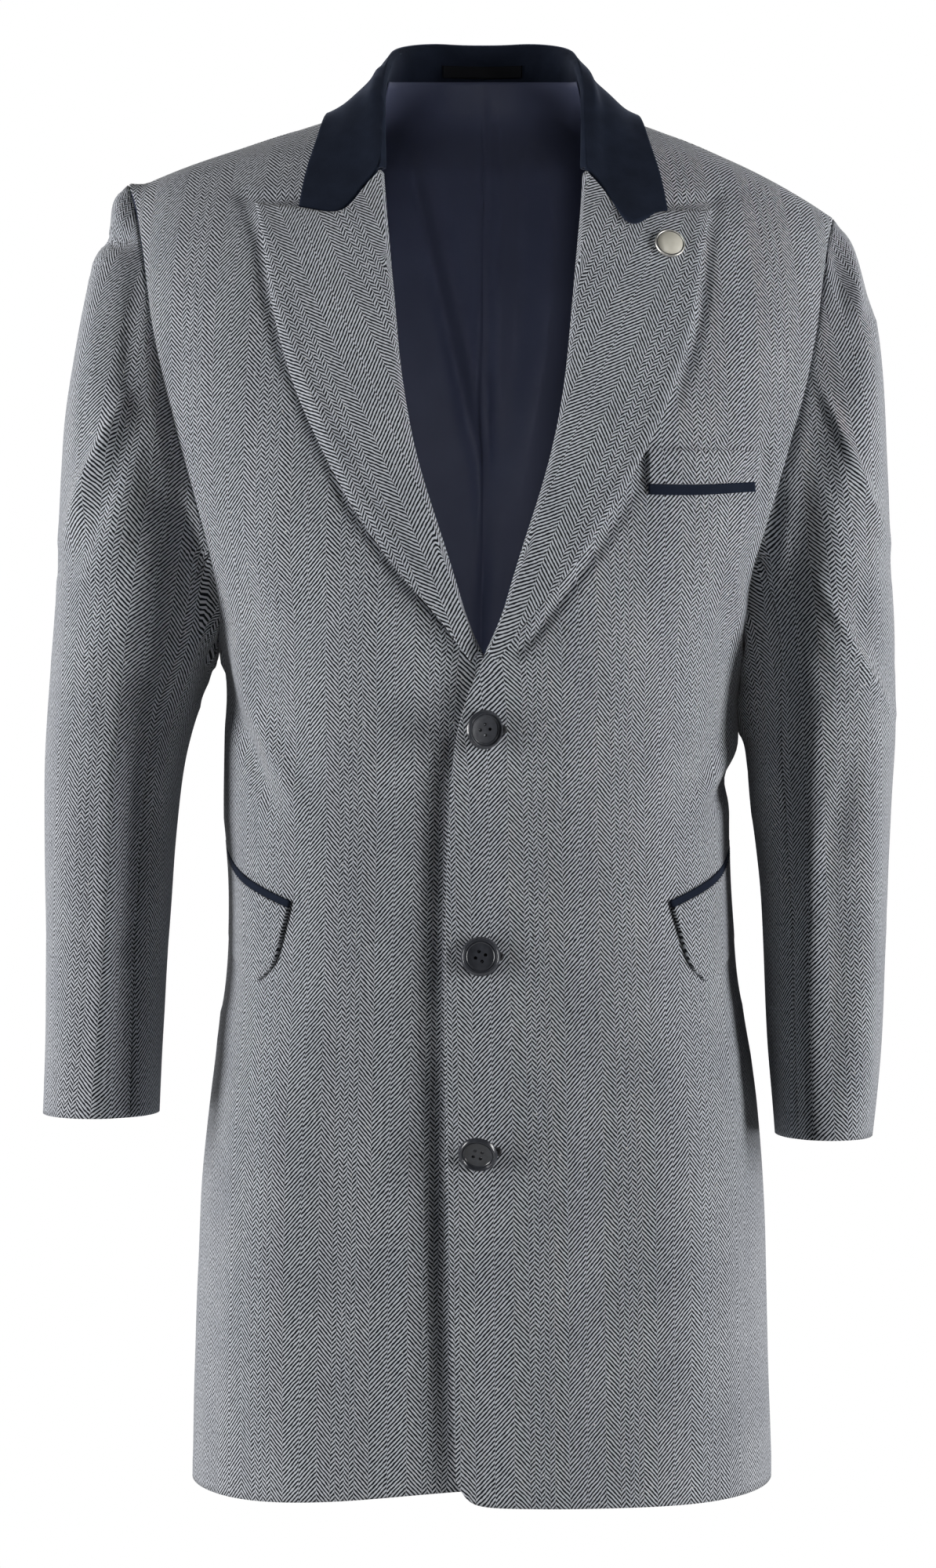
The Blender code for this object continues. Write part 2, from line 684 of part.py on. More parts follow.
def fanned_level(row, fan_from, share, turn, on_front):
    """Level of a row at a turn, found by steps because the top edge depends on the place."""
    z = row.z
    for _ in range(FAN_STEPS):
        out = abs(body_point(turn, z)[0])
        z = row_level(row, fan_from, share, top_edge(out, on_front))
    return z


def make_front(side):
    rows = panel_rows()
    fan_from = rows[-1 - FAN_ROWS].z
    faces = []
    for row in rows:
        edge_z = row_level(row, fan_from, 0.0, NECK_POINT_Z)
        edge = FRONT_OUT(edge_z) + ROLL_SETBACK * ease(edge_z, ROLL_SETBACK_FROM_Z, BREAK_Z)
        first = turn_at(edge - side * BODY["shift_x"](edge_z), edge_z)
        last = math.pi / 2 - seam_turn(row.z)
        if row.z > UNDERARM_Z:
            last = min(last, turn_at(ARMHOLE_OUT["front_out"](row.z), row.z))
        near_hem = max(1 - (row.z - HEM_Z) / FRONT_HEM_HEIGHT, 0.0) ** 2
        seam = np.array([0.0, -SEAM_GAP / 2, 0.0]) * (row.fan == 1.0)
        faces.append([])
        for share in FRONT_COLUMNS:
            turn = first + (last - first) * share
            z = fanned_level(row, fan_from, share, turn, on_front=True)
            from_edge = side * body_point(side * turn, z)[0] - edge
            point, outward = front_face(side, turn, z + near_hem * front_hem_lift(side, from_edge))
            faces[-1].append((point + seam, outward))
    add_panel(f"front_{SIDE_NAMES[side]}", "tweed", faces, TWEED_WALL)


def back_row(row, fan_from):
    """Turns and levels of one row of the back, from the side or armhole to the centre-back seam."""
    first = math.pi / 2 + seam_turn(row.z)
    if row.z > UNDERARM_Z:
        first = max(first, turn_at(ARMHOLE_OUT["back_out"](row.z), row.z, on_front=False))
    middle_z = row_level(row, fan_from, 0.0, BACK_NECK_Z(0.0))
    last = math.pi - SEAM_GAP / 2 / BODY["back_depth"](middle_z)
    neck = turn_at(NECK_POINT_OUT, NECK_POINT_Z, on_front=False)
    neck_share = NECK_COLUMN / BACK_COLUMNS
    found = []
    for column in range(BACK_COLUMNS + 1):
        share = column / BACK_COLUMNS
        turn = first + (last - first) * share
        through_neck = first + (neck - first) * share / neck_share
        if column > NECK_COLUMN:
            through_neck = neck + (last - neck) * (share - neck_share) / (1 - neck_share)
        turn += (through_neck - turn) * row.fan
        found.append((turn, fanned_level(row, fan_from, 1 - share, turn, on_front=False)))
    return found


def make_back(side):
    rows = panel_rows()
    fan_from = rows[-1 - FAN_ROWS].z
    faces = []
    for row in rows:
        faces.append([])
        for column, (turn, z) in enumerate(back_row(row, fan_from)):
            on_shoulder = row.fan == 1.0 and column <= NECK_COLUMN
            seam = np.array([0.0, SEAM_GAP / 2, 0.0]) * on_shoulder
            faces[-1].append((body_point(side * turn, z) + seam, body_normal(side * turn, z)))
    add_panel(f"back_{SIDE_NAMES[side]}", "tweed", faces, TWEED_WALL)


# Sleeves
def make_sleeve(side):
    upper = ("upper", -SLEEVE_SEAM_STATION, SLEEVE_SEAM_STATION)
    under = ("under", SLEEVE_SEAM_STATION, 2 * CHEST_ROWS - SLEEVE_SEAM_STATION)
    for part, first, last in (upper, under):
        turns = [math.pi * station / CHEST_ROWS for station in range(first, last + 1)]
        turns[0] += SLEEVE_SEAM_HALF_GAP
        turns[-1] -= SLEEVE_SEAM_HALF_GAP
        runs = [(k / SLEEVE_ROWS) ** SLEEVE_ROW_CROWDING for k in range(SLEEVE_ROWS + 1)]
        faces = [[sleeve_face(side, run, turn) for turn in turns] for run in runs]
        add_panel(f"sleeve_{part}_{SIDE_NAMES[side]}", "tweed", faces, TWEED_WALL)


# Lapels and collar
def lapel_place(row_share, share):
    """Distance out and level of a lapel point, from the roll line (share 0) to the outer edge (share 1)."""
    roll_z = BREAK_Z + (GORGE[0].z - BREAK_Z) * row_share
    edge_z = LAPEL_EDGE[0].z + (LAPEL_EDGE[-1].z - LAPEL_EDGE[0].z) * row_share
    out = FRONT_OUT(roll_z) * (1 - share) + LAPEL_OUT(edge_z) * share
    z = roll_z * (1 - share) + edge_z * share
    near_top = row_share ** LAPEL_TOP_SHARPNESS
    straight_out = GORGE[0].out * (1 - share) + GORGE[-1].out * share
    straight_z = GORGE[0].z * (1 - share) + GORGE[-1].z * share
    out += near_top * (GORGE_OUT(share) - straight_out)
    z += near_top * (GORGE_Z(share) - straight_z)
    return out, z - GORGE_GAP


def make_lapel(side):
    middle = []
    for k in range(LAPEL_ROWS + 1):
        row_share = k / LAPEL_ROWS
        roll_out, roll_z = lapel_place(row_share, 0.0)
        slim = LAPEL_BREAK_SLIMNESS + (1 - LAPEL_BREAK_SLIMNESS) * ease(row_share, 0.0, LAPEL_BREAK_SHARE)
        row = []
        for step in LAPEL_FOLD:
            row.append(front_face_at(side, roll_out + step.along * slim, roll_z, step.height)[0])
        for share in LAPEL_SHARES:
            out, z = lapel_place(row_share, share)
            belly = LAPEL_BELLY * math.sin(math.pi * share) * row_share
            height = LAPEL_HEIGHT + belly + LAPEL_EDGE_RISE * share ** 2
            below_top = 1 - row_share ** LAPEL_TOP_SHARPNESS
            out += LAPEL_FOLD_TOP * slim * (1 - share) * below_top
            row.append(front_face_at(side, out, z, height)[0])
        middle.append(row)
    middle = np.array(middle)
    add_folded(f"lapel_{SIDE_NAMES[side]}", "tweed", middle, TWEED_WALL)


def collar_section(index):
    """Points of one collar section: up the stand, over the roll and down the fall."""
    section = COLLAR_SECTIONS[index]
    seam, roll, fall = (np.array(point, dtype=float) for point in section)
    inward = (roll - fall) * np.array([1.0, 1.0, 0.0])
    under_roll = roll + COLLAR_ROLL_INSET * inward / np.linalg.norm(inward)
    under_roll[2] -= COLLAR_ROLL_DROP
    points = []
    for k in range(COLLAR_STAND_POINTS):
        t = k / COLLAR_STAND_POINTS
        points.append(seam * (1 - t) ** 2 + under_roll * 2 * t * (1 - t) + roll * t * t)
    bulge = roll + (fall - roll) * COLLAR_BULGE_OUT
    bulge[2] = roll[2] + (fall[2] - roll[2]) * COLLAR_BULGE_DOWN
    is_end = index == len(COLLAR_SECTIONS) - 1
    for k in range(COLLAR_FALL_POINTS + 1):
        t = k / COLLAR_FALL_POINTS
        point = roll * (1 - t) ** 2 + bulge * 2 * t * (1 - t) + fall * t * t
        if is_end:
            share = t * COLLAR_END_SHARE
            point = front_face_at(LEFT, GORGE_OUT(share), GORGE_Z(share), LAPEL_HEIGHT)[0]
        points.append(point)
    return np.array(points)


def collar_middle():
    """Middle points of the whole collar, from its right end round the back to its left end."""
    sections = np.array([collar_section(k) for k in range(len(COLLAR_SECTIONS))])
    spaces = (len(sections) - 1) * COLLAR_STATIONS_PER_SECTION
    stations = [k / COLLAR_STATIONS_PER_SECTION for k in range(spaces + 1)]
    places = list(range(len(sections)))
    half = np.zeros((len(stations), sections.shape[1], 3))
    for point in range(sections.shape[1]):
        for axis in range(3):
            read = smooth_curve(places, sections[:, point, axis])
            half[:, point, axis] = [read(station) for station in stations]
    off_body = VELVET_WALL / 2 + 2 * LAID_ON_GAP
    for row in half:
        for point in range(COLLAR_STAND_POINTS + 1, len(row)):
            row[point] = clear_of_body(row[point], off_body)
    mirrored = half[:0:-1] * np.array([-1.0, 1.0, 1.0])
    return np.concatenate([mirrored, half])


def make_collar():
    middle = collar_middle()
    add_folded("collar", "velvet", middle, VELVET_WALL)
    make_hanger_loop(middle)


def make_hanger_loop(collar):
    """A flat loop on the inner face of the collar stand at the centre back."""
    centre = (len(collar) - 1) // 2
    reach = round(LOOP_HALF_STATIONS * COLLAR_STATIONS_PER_SECTION)
    inward = -grid_normals(collar)
    off_stand = VELVET_WALL / 2 + SEAM_GAP
    faces = []
    for share in LOOP_STAND_SHARES:
        lower = int(share * COLLAR_STAND_POINTS)
        between = share * COLLAR_STAND_POINTS - lower
        row = []
        for station in range(centre - reach, centre + reach + 1):
            place = collar[station, lower] * (1 - between) + collar[station, lower + 1] * between
            direction = inward[station, lower] * (1 - between) + inward[station, lower + 1] * between
            row.append((place + direction * off_stand, direction))
        faces.append(row)
    outer = np.array([[point for point, _ in row] for row in faces])
    direction = np.array([[way for _, way in row] for row in faces])
    add_wall("hanger_loop", "satin", outer, outer + direction * LOOP_WALL)


# Lining
def make_lining():
    """The back's rows moved in, kept clear of its edges, with a pleat at the centre."""
    rows = panel_rows()
    fan_from = rows[-1 - FAN_ROWS].z
    faces = []
    for row in rows:
        if row.z < LINING_BOTTOM_Z:
            continue
        top_margin = LINING_TOP_MARGIN * row.fan
        places = [(turn, z - top_margin) for turn, z in back_row(row, fan_from)]
        side_turn = places[0][0] + LINING_SIDE_MARGIN / BODY["half_width"](places[0][1])
        places[0] = (side_turn, places[0][1])
        places[-1] = (math.pi - LINING_PLEAT_TURN, places[-1][1])
        places = places + [(math.pi, places[-1][1])] + [(2 * math.pi - turn, z) for turn, z in places[::-1]]
        faces.append([])
        for turn, z in places:
            outward = body_normal(turn, z)
            inset = LINING_INSET + LINING_PLEAT * (turn == math.pi)
            faces[-1].append((body_point(turn, z) - outward * inset, outward))
    add_panel("lining_back", "satin", faces, LINING_WALL)


# Pockets
def arc_turn(z, start_out, arc):
    """Turn reached by going an arc length round the ring at z, from a start on the front."""
    start = turn_at(start_out, z)
    turns = np.linspace(start - ARC_MARGIN, math.pi / 2 + ARC_MARGIN, ARC_SAMPLES)
    points = np.array([body_point(turn, z) for turn in turns])
    run = np.concatenate([[0.0], np.cumsum(np.linalg.norm(np.diff(points, axis=0), axis=1))])
    run -= np.interp(start, turns, run)
    return float(np.interp(arc, run, turns))


def pocket_face(side, along, down, height):
    """Point on a front, in the slanted directions of its hip pocket."""
    arc = along * math.cos(HIP_SLANT) + down * math.sin(HIP_SLANT)
    z = HIP_MOUTH_Z + along * math.sin(HIP_SLANT) - down * math.cos(HIP_SLANT)
    turn = arc_turn(HIP_MOUTH_Z, HIP_MOUTH_OUT, arc)
    return front_face(side, min(turn, math.pi / 2 - HIP_SIDE_CLEARANCE), z, height)


def make_hip_pocket(side):
    name = SIDE_NAMES[side]
    flap = []
    for row in range(FLAP_ROWS + 1):
        down = HIP_FLAP_DROP * row / FLAP_ROWS
        near_foot = max(down - (HIP_FLAP_DROP - HIP_FLAP_CORNER), 0.0)
        rounding = HIP_FLAP_CORNER - math.sqrt(HIP_FLAP_CORNER ** 2 - near_foot ** 2)
        length = HIP_MOUTH_LENGTH - down * math.tan(HIP_SLANT)
        places = [rounding + (length - rounding) * k / FLAP_COLUMNS for k in range(FLAP_COLUMNS + 1)]
        flap.append([pocket_face(side, along, down, LAID_ON_GAP + TWEED_WALL) for along in places])
    add_panel(f"hip_flap_{name}", "tweed", flap, TWEED_WALL)
    trim = []
    for down in (-HIP_TRIM_HEIGHT, -SEAM_GAP):
        places = [HIP_MOUTH_LENGTH * k / FLAP_COLUMNS for k in range(FLAP_COLUMNS + 1)]
        trim.append([pocket_face(side, along, down, LAID_ON_GAP + TRIM_WALL) for along in places])
    add_panel(f"hip_trim_{name}", "velvet", trim, TRIM_WALL)


def make_chest_pocket():
    def strip(name, finish, top, height, thickness, spaces):
        faces = []
        for row in range(spaces + 1):
            faces.append([])
            for column in range(WELT_COLUMNS + 1):
                along = column / WELT_COLUMNS
                out = CHEST_WELT_FROM + (CHEST_WELT_TO - CHEST_WELT_FROM) * along
                z = top - height * row / spaces + CHEST_WELT_RISE * along
                faces[-1].append(front_face_at(LEFT, out, z, LAID_ON_GAP + thickness))
        add_panel(name, finish, faces, thickness)

    strip("chest_welt", "tweed", CHEST_WELT_TOP_Z, CHEST_WELT_HEIGHT, TWEED_WALL, WELT_ROWS)
    trim_top = CHEST_WELT_TOP_Z - CHEST_WELT_HEIGHT - SEAM_GAP
    strip("chest_trim", "velvet", trim_top, CHEST_TRIM_HEIGHT, TRIM_WALL, 1)


# Buttons and pin
def make_buttons():
    floor = BUTTON_THICKNESS - BUTTON_DISH
    profile = (
        (0.0, floor),
        (BUTTON_RADIUS - BUTTON_RIM - BUTTON_DISH, floor),
        (BUTTON_RADIUS - BUTTON_RIM, BUTTON_THICKNESS - BUTTON_ROUNDING / 2),
        (BUTTON_RADIUS - BUTTON_RIM / 2, BUTTON_THICKNESS),
        (BUTTON_RADIUS - BUTTON_ROUNDING, BUTTON_THICKNESS - BUTTON_ROUNDING),
        (BUTTON_RADIUS, BUTTON_THICKNESS / 2),
        (BUTTON_RADIUS - BUTTON_RIM, BUTTON_ROUNDING),
        (BUTTON_RADIUS - 2 * BUTTON_RIM, 0.0),
        (0.0, 0.0),
    )
    for number, (out, z, aside, down) in enumerate(BUTTON_PLACES, start=1):
        seat, outward = front_face_at(LEFT, out, z, SEAM_GAP)
        turned = Matrix.Rotation(math.radians(aside), 3, "Z") @ Matrix.Rotation(math.radians(down), 3, "X")
        facing = turned @ Vector(outward)
        lean = facing.angle(Vector(outward))
        rise = BUTTON_RADIUS * math.sin(lean) - BUTTON_THICKNESS / 2 * math.cos(lean)
        add_turned(f"button_{number}", "button", profile, BUTTON_STEPS, seat + outward * max(rise, 0.0), facing)


def make_pin():
    profile = (
        (0.0, PIN_THICKNESS - PIN_ROUNDING),
        (PIN_RADIUS - PIN_RIM - 2 * PIN_ROUNDING, PIN_THICKNESS - PIN_ROUNDING),
        (PIN_RADIUS - PIN_RIM, PIN_THICKNESS - 2 * PIN_ROUNDING),
        (PIN_RADIUS - PIN_RIM + PIN_ROUNDING, PIN_THICKNESS),
        (PIN_RADIUS - PIN_ROUNDING, PIN_THICKNESS),
        (PIN_RADIUS, PIN_THICKNESS / 2),
        (PIN_RADIUS - PIN_ROUNDING, 0.0),
        (0.0, 0.0),
    )
    height = PIN_SEAT_HEIGHT + TWEED_WALL / 2 + SEAM_GAP
    seat, outward = front_face_at(LEFT, PIN_OUT, PIN_Z, height)
    add_turned("lapel_pin", "pin", profile, PIN_STEPS, seat, outward)


for old in list(bpy.data.objects):
    bpy.data.objects.remove(old)

coat = bpy.data.collections.new(COAT_NAME)
bpy.context.scene.collection.children.link(coat)

for hand in (LEFT, RIGHT):
    make_front(hand)
    make_back(hand)
    make_sleeve(hand)
    make_lapel(hand)
    make_hip_pocket(hand)
make_collar()
make_lining()
make_chest_pocket()
make_buttons()
make_pin()
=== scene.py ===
# %% [markdown]
# # A herringbone tweed overcoat, hollow and filled out as worn
#
# The coat is sewn from a few large panels of wool, with a velvet collar and a satin lining. The packed
# model gives each panel as a plain wall in its right place. This lesson turns every wall into cloth: a
# thin smooth sheet on the same form, with its creases placed by hand, its flat cut kept as a UV map,
# and the weave drawn on that cut. The small hard things, the buttons and the pin, are turned from
# profiles.

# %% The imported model, as a fixed frame
import json
import math

import bmesh
import bpy
import numpy as np
from mathutils import Matrix, Vector, noise
from mathutils.bvhtree import BVHTree
from mathutils.interpolate import poly_3d_calc
from mathutils.kdtree import KDTree

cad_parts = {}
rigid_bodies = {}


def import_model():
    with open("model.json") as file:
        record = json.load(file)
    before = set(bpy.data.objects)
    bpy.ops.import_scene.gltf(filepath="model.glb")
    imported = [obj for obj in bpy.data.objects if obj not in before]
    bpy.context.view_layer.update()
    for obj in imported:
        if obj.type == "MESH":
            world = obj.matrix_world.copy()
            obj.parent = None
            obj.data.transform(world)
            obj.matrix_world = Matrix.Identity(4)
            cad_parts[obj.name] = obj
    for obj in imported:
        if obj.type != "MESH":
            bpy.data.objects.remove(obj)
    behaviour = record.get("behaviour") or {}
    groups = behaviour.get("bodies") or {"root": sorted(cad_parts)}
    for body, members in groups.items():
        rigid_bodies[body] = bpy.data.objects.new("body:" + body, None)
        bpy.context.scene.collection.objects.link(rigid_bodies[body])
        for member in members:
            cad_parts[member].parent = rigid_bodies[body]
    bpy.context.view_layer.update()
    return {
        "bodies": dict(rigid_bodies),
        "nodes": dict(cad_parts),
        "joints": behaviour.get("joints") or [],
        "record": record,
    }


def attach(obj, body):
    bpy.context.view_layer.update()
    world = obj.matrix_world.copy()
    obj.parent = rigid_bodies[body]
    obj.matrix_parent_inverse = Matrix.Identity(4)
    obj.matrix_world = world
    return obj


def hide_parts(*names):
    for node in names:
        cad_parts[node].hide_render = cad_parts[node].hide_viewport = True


for leftover in list(bpy.data.objects):
    bpy.data.objects.remove(leftover)
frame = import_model()
nodes = frame["nodes"]
MM = 0.001

# %% [markdown]
# ## The camera
#
# The picture was taken level, from straight in front and from some way off, so the camera needs no tilt
# or shift. One pixel of the photograph is 0.525 mm where the coat's outline lies. The same numbers tell
# where a point of the cloth falls in the photograph, which is how creases are placed where they were
# seen.

# %% Camera at the photograph's viewing angle
PHOTO_WIDTH = 1194
PHOTO_HEIGHT = 2000
PIXEL = 0.525 * MM
NECK_COLUMN = 616
NECK_ROW = 140
CAMERA_DISTANCE = 2.5
SENSOR = 36.0
camera_x = (PHOTO_WIDTH / 2 - NECK_COLUMN) * PIXEL
camera_z = (NECK_ROW - PHOTO_HEIGHT / 2) * PIXEL
camera = bpy.data.objects.new("camera", bpy.data.cameras.new("camera"))
camera.data.sensor_width = SENSOR
camera.data.lens = SENSOR * CAMERA_DISTANCE / (PHOTO_HEIGHT * PIXEL)
camera.location = (camera_x, -CAMERA_DISTANCE, camera_z)
camera.rotation_euler = (math.radians(90), 0, 0)
bpy.context.scene.collection.objects.link(camera)
bpy.context.scene.camera = camera
print("lens in mm:", round(camera.data.lens, 1))

# %% Where points fall in the photograph
def in_photo(points):
    """The photograph's pixel for each point of the coat."""
    nearness = CAMERA_DISTANCE / (CAMERA_DISTANCE + points[:, 1])
    across = PHOTO_WIDTH / 2 + (points[:, 0] - camera_x) * nearness / PIXEL
    down = PHOTO_HEIGHT / 2 - (points[:, 2] - camera_z) * nearness / PIXEL
    return np.stack([across, down], axis=1)


print("neck base in the photograph:", in_photo(np.zeros((1, 3)))[0])

# %% [markdown]
# ## Colours and nodes
#
# Colours are given as the sRGB hex values that a colour picker shows, and Blender's shaders want linear
# light, so one function turns them. One more adds a node with its settings and links, and keeps the
# materials below short enough to read.

# %% Helpers for materials
def linear(hex_colour):
    """A linear RGBA colour from an sRGB hex value such as 7f7f7f."""
    shares = [int(hex_colour[place:place + 2], 16) / 255 for place in (0, 2, 4)]
    light = [share / 12.92 if share <= 0.04045 else ((share + 0.055) / 1.055) ** 2.4 for share in shares]
    return (*light, 1.0)


def add_node(material, kind, inputs=None, **settings):
    """A new node: settings are its properties, and inputs are values or other nodes' sockets."""
    node = material.node_tree.nodes.new(kind)
    for name, value in settings.items():
        setattr(node, name, value)
    for socket, value in (inputs or {}).items():
        if isinstance(value, bpy.types.NodeSocket):
            material.node_tree.links.new(value, node.inputs[socket])
        else:
            node.inputs[socket].default_value = value
    return node


def new_material(name, **values):
    """A material and its Principled shader, with the values that are the same all over."""
    material = bpy.data.materials.new(name)
    material.use_nodes = True
    shader = material.node_tree.nodes["Principled BSDF"]
    for socket, value in values.items():
        shader.inputs[socket.replace("_", " ")].default_value = value
    return material, shader


def join(material, socket, target):
    """Links a socket to the shader's input."""
    material.node_tree.links.new(socket, target)


print("mid grey in linear light:", round(linear("7f7f7f")[0], 3))

# %% [markdown]
# ## Herringbone tweed
#
# Tweed is woven from rough carded wool, here near-black navy and pale grey. In a herringbone the twill
# lines turn back at set places, so the cloth shows upright bands of slanted lines. This cloth's bands
# are uneven: one wide band, a medium one, five narrow ones and another medium one, and then the set
# repeats. A Float Curve draws how far the twill has risen at each place across the set, and the stripes
# are that rise set against the height up the cloth. It reads the piece's flat cut, in metres, so the
# bands bend with the cloth.

# %% Tweed: the bands of the weave
BANDS = [(12.0, 1), (9.5, -1), (3.2, 1), (3.2, -1), (3.2, 1), (3.2, -1), (3.2, 1), (9.5, -1), (12.0, 1)]
TWILL_SLOPE = 1.08
LINE_SPACING = 2.9
repeat = sum(width for width, turn in BANDS)
rises = [0.0]
for width, turn in BANDS:
    rises.append(rises[-1] + width * turn * TWILL_SLOPE)
lowest_rise = min(rises)
rise_range = max(rises) - lowest_rise
print("repeat in mm:", round(repeat, 1), "rise over it in mm:", round(rises[-1], 1))

# %% Tweed: twill lines on the flat cut
tweed, tweed_shader = new_material(
    "wool tweed, herringbone woven",
    Roughness=0.92,
    Sheen_Weight=0.18,
    Sheen_Roughness=0.55,
    IOR=1.45,
    Specular_IOR_Level=0.25,
)
cut = add_node(tweed, "ShaderNodeUVMap", uv_map="cut").outputs["UV"]
# How wide the patches of each unevenness are in mm, and how broken up. Single fibres are far too fine to
# show, so slubs, flecks and fuzz are drawn about one to three millimetres across.
UNEVEN = {
    "wobble": (9, 2.0), "slub": (2.4, 2.0), "cloud": (45, 3.0), "fleck": (2.6, 1.0), "fuzz": (0.8, 2.0),
}
uneven = {}
for name, (patch, detail) in UNEVEN.items():
    settings = {"Vector": cut, "Scale": 1 / (patch * MM), "Detail": detail}
    uneven[name] = add_node(tweed, "ShaderNodeTexNoise", settings).outputs
# Hand-spun unevenness moves each line a little, so that no two are quite alike.
WOBBLE = 1.1
MIDDLE = (0.5, 0.5, 0.5)
moved = add_node(
    tweed, "ShaderNodeVectorMath", {0: uneven["wobble"]["Color"], 1: MIDDLE}, operation="SUBTRACT"
)
moved = add_node(
    tweed, "ShaderNodeVectorMath", {0: moved.outputs[0], "Scale": WOBBLE * MM}, operation="SCALE"
)
place = add_node(tweed, "ShaderNodeVectorMath", {0: cut, 1: moved.outputs[0]}, operation="ADD")
split = add_node(tweed, "ShaderNodeSeparateXYZ", {0: place.outputs[0]})
sets = add_node(
    tweed, "ShaderNodeMath", {0: split.outputs["X"], 1: repeat * MM}, operation="DIVIDE"
).outputs[0]
set_number = add_node(tweed, "ShaderNodeMath", {0: sets}, operation="FLOOR").outputs[0]
in_set = add_node(tweed, "ShaderNodeMath", {0: sets}, operation="FRACT").outputs[0]
print("kinds of unevenness:", len(UNEVEN))

# %% Tweed: the rise across one set of bands
rise = add_node(tweed, "ShaderNodeFloatCurve", {"Value": in_set})
curve = rise.mapping.curves[0]
edges = np.cumsum([0.0] + [width for width, turn in BANDS]) / repeat
heights = (np.array(rises) - lowest_rise) / rise_range
curve.points[0].location = (0.0, heights[0])
curve.points[1].location = (1.0, heights[-1])
for edge, height in zip(edges[1:-1], heights[1:-1]):
    curve.points.new(edge, height)
for point in curve.points:
    point.handle_type = "VECTOR"
rise.mapping.update()
print("points on the rise curve:", len(curve.points))

# %% Tweed: stripes, with the half step where the weave turns
# Each band starts half a line off the one beside it. A set starts in the middle of the wide band.
HALF_LINE = 0.5
rise_a_set = rises[-1] / LINE_SPACING + HALF_LINE
net_rise = add_node(
    tweed, "ShaderNodeMath", {0: set_number, 1: rise_a_set}, operation="MULTIPLY"
).outputs[0]
lines_risen = add_node(
    tweed,
    "ShaderNodeMath",
    {0: rise.outputs[0], 1: rise_range / LINE_SPACING, 2: net_rise},
    operation="MULTIPLY_ADD",
).outputs[0]
lines_up = add_node(
    tweed, "ShaderNodeMath", {0: split.outputs["Y"], 1: LINE_SPACING * MM}, operation="DIVIDE"
).outputs[0]
step = add_node(tweed, "ShaderNodeValToRGB", {0: in_set})
step.color_ramp.interpolation = "CONSTANT"
reached = 0.0
for index, (width, turn) in enumerate(BANDS):
    shade = (1.0, 1.0, 1.0, 1.0) if turn < 0 else (0.0, 0.0, 0.0, 1.0)
    if index < 2:
        stop = step.color_ramp.elements[index]
        stop.position = reached / repeat
    else:
        stop = step.color_ramp.elements.new(reached / repeat)
    stop.color = shade
    reached += width
half = add_node(
    tweed, "ShaderNodeMath", {0: step.outputs["Color"], 1: HALF_LINE, 2: lines_up}, operation="MULTIPLY_ADD"
).outputs[0]
phase = add_node(tweed, "ShaderNodeMath", {0: half, 1: lines_risen}, operation="SUBTRACT").outputs[0]
turned = add_node(tweed, "ShaderNodeMath", {0: phase, 1: math.tau}, operation="MULTIPLY").outputs[0]
wave = add_node(tweed, "ShaderNodeMath", {0: turned}, operation="SINE").outputs[0]
print("tweed lines every", LINE_SPACING, "mm")

# %% Tweed: yarn colours
FACTOR = 0
COLOUR_A = 6
COLOUR_B = 7
COLOUR_OUT = 2
SLUB_GAIN, SLUB_SHIFT = 2.3, -1.15
YARN_EDGE = 0.28
slub = uneven["slub"][0]
slubbed = add_node(
    tweed, "ShaderNodeMath", {0: slub, 1: SLUB_GAIN, 2: SLUB_SHIFT}, operation="MULTIPLY_ADD"
).outputs[0]
yarn = add_node(tweed, "ShaderNodeMath", {0: wave, 1: slubbed}, operation="ADD").outputs[0]
pale_share = add_node(
    tweed,
    "ShaderNodeMapRange",
    {"Value": yarn, "From Min": -YARN_EDGE, "From Max": YARN_EDGE},
    interpolation_type="SMOOTHSTEP",
).outputs[0]
fleck = add_node(
    tweed, "ShaderNodeMapRange", {"Value": uneven["fleck"][0], "From Min": 0.73, "From Max": 0.80}
).outputs[0]
# Each mix takes from the ones before it: what shares it out, and its two colours.
YARNS = {
    "pale": (uneven["cloud"][0], linear("c2c6d0"), linear("e6e9ef")),
    "dark": (slub, linear("07090f"), linear("1e222c")),
    "woven": (pale_share, "dark", "pale"),
    "flecked": (fleck, "woven", linear("d8d7d4")),
}
mixed = {}
for name, (share, first, second) in YARNS.items():
    colours = {FACTOR: share, COLOUR_A: mixed.get(first, first), COLOUR_B: mixed.get(second, second)}
    mixed[name] = add_node(tweed, "ShaderNodeMix", colours, data_type="RGBA").outputs[COLOUR_OUT]
join(tweed, mixed["flecked"], tweed_shader.inputs["Base Color"])
print("yarn colours:", len(YARNS))

# %% Tweed: nap and relief
FUZZ_SHARE = 0.6
RELIEF_DEPTH = 0.35
height = add_node(
    tweed, "ShaderNodeMath", {0: uneven["fuzz"][0], 1: FUZZ_SHARE, 2: pale_share}, operation="MULTIPLY_ADD"
).outputs[0]
bump = add_node(
    tweed, "ShaderNodeBump", {"Height": height, "Distance": RELIEF_DEPTH * MM, "Strength": 0.55}
)
join(tweed, bump.outputs[0], tweed_shader.inputs["Normal"])
print("made", tweed.name)

# %% [markdown]
# ## Velvet, satin, button plastic, thread and the pin's finishes
#
# Velvet is a pile of cut cotton: it looks almost black from the front and catches light where it curves
# away, which is what sheen gives. Satin floats smooth filament over its face, so it has a soft, wide
# shine. The buttons are moulded black plastic, tumbled to a gloss, and their spun thread stays dull.
# The pin is nickel-plated, with a poured enamel face as smooth as glass. None of them is one flat
# colour, so each starts from two close shades in soft patches. Pile, threads and scuffs are added
# after that to those that have them.

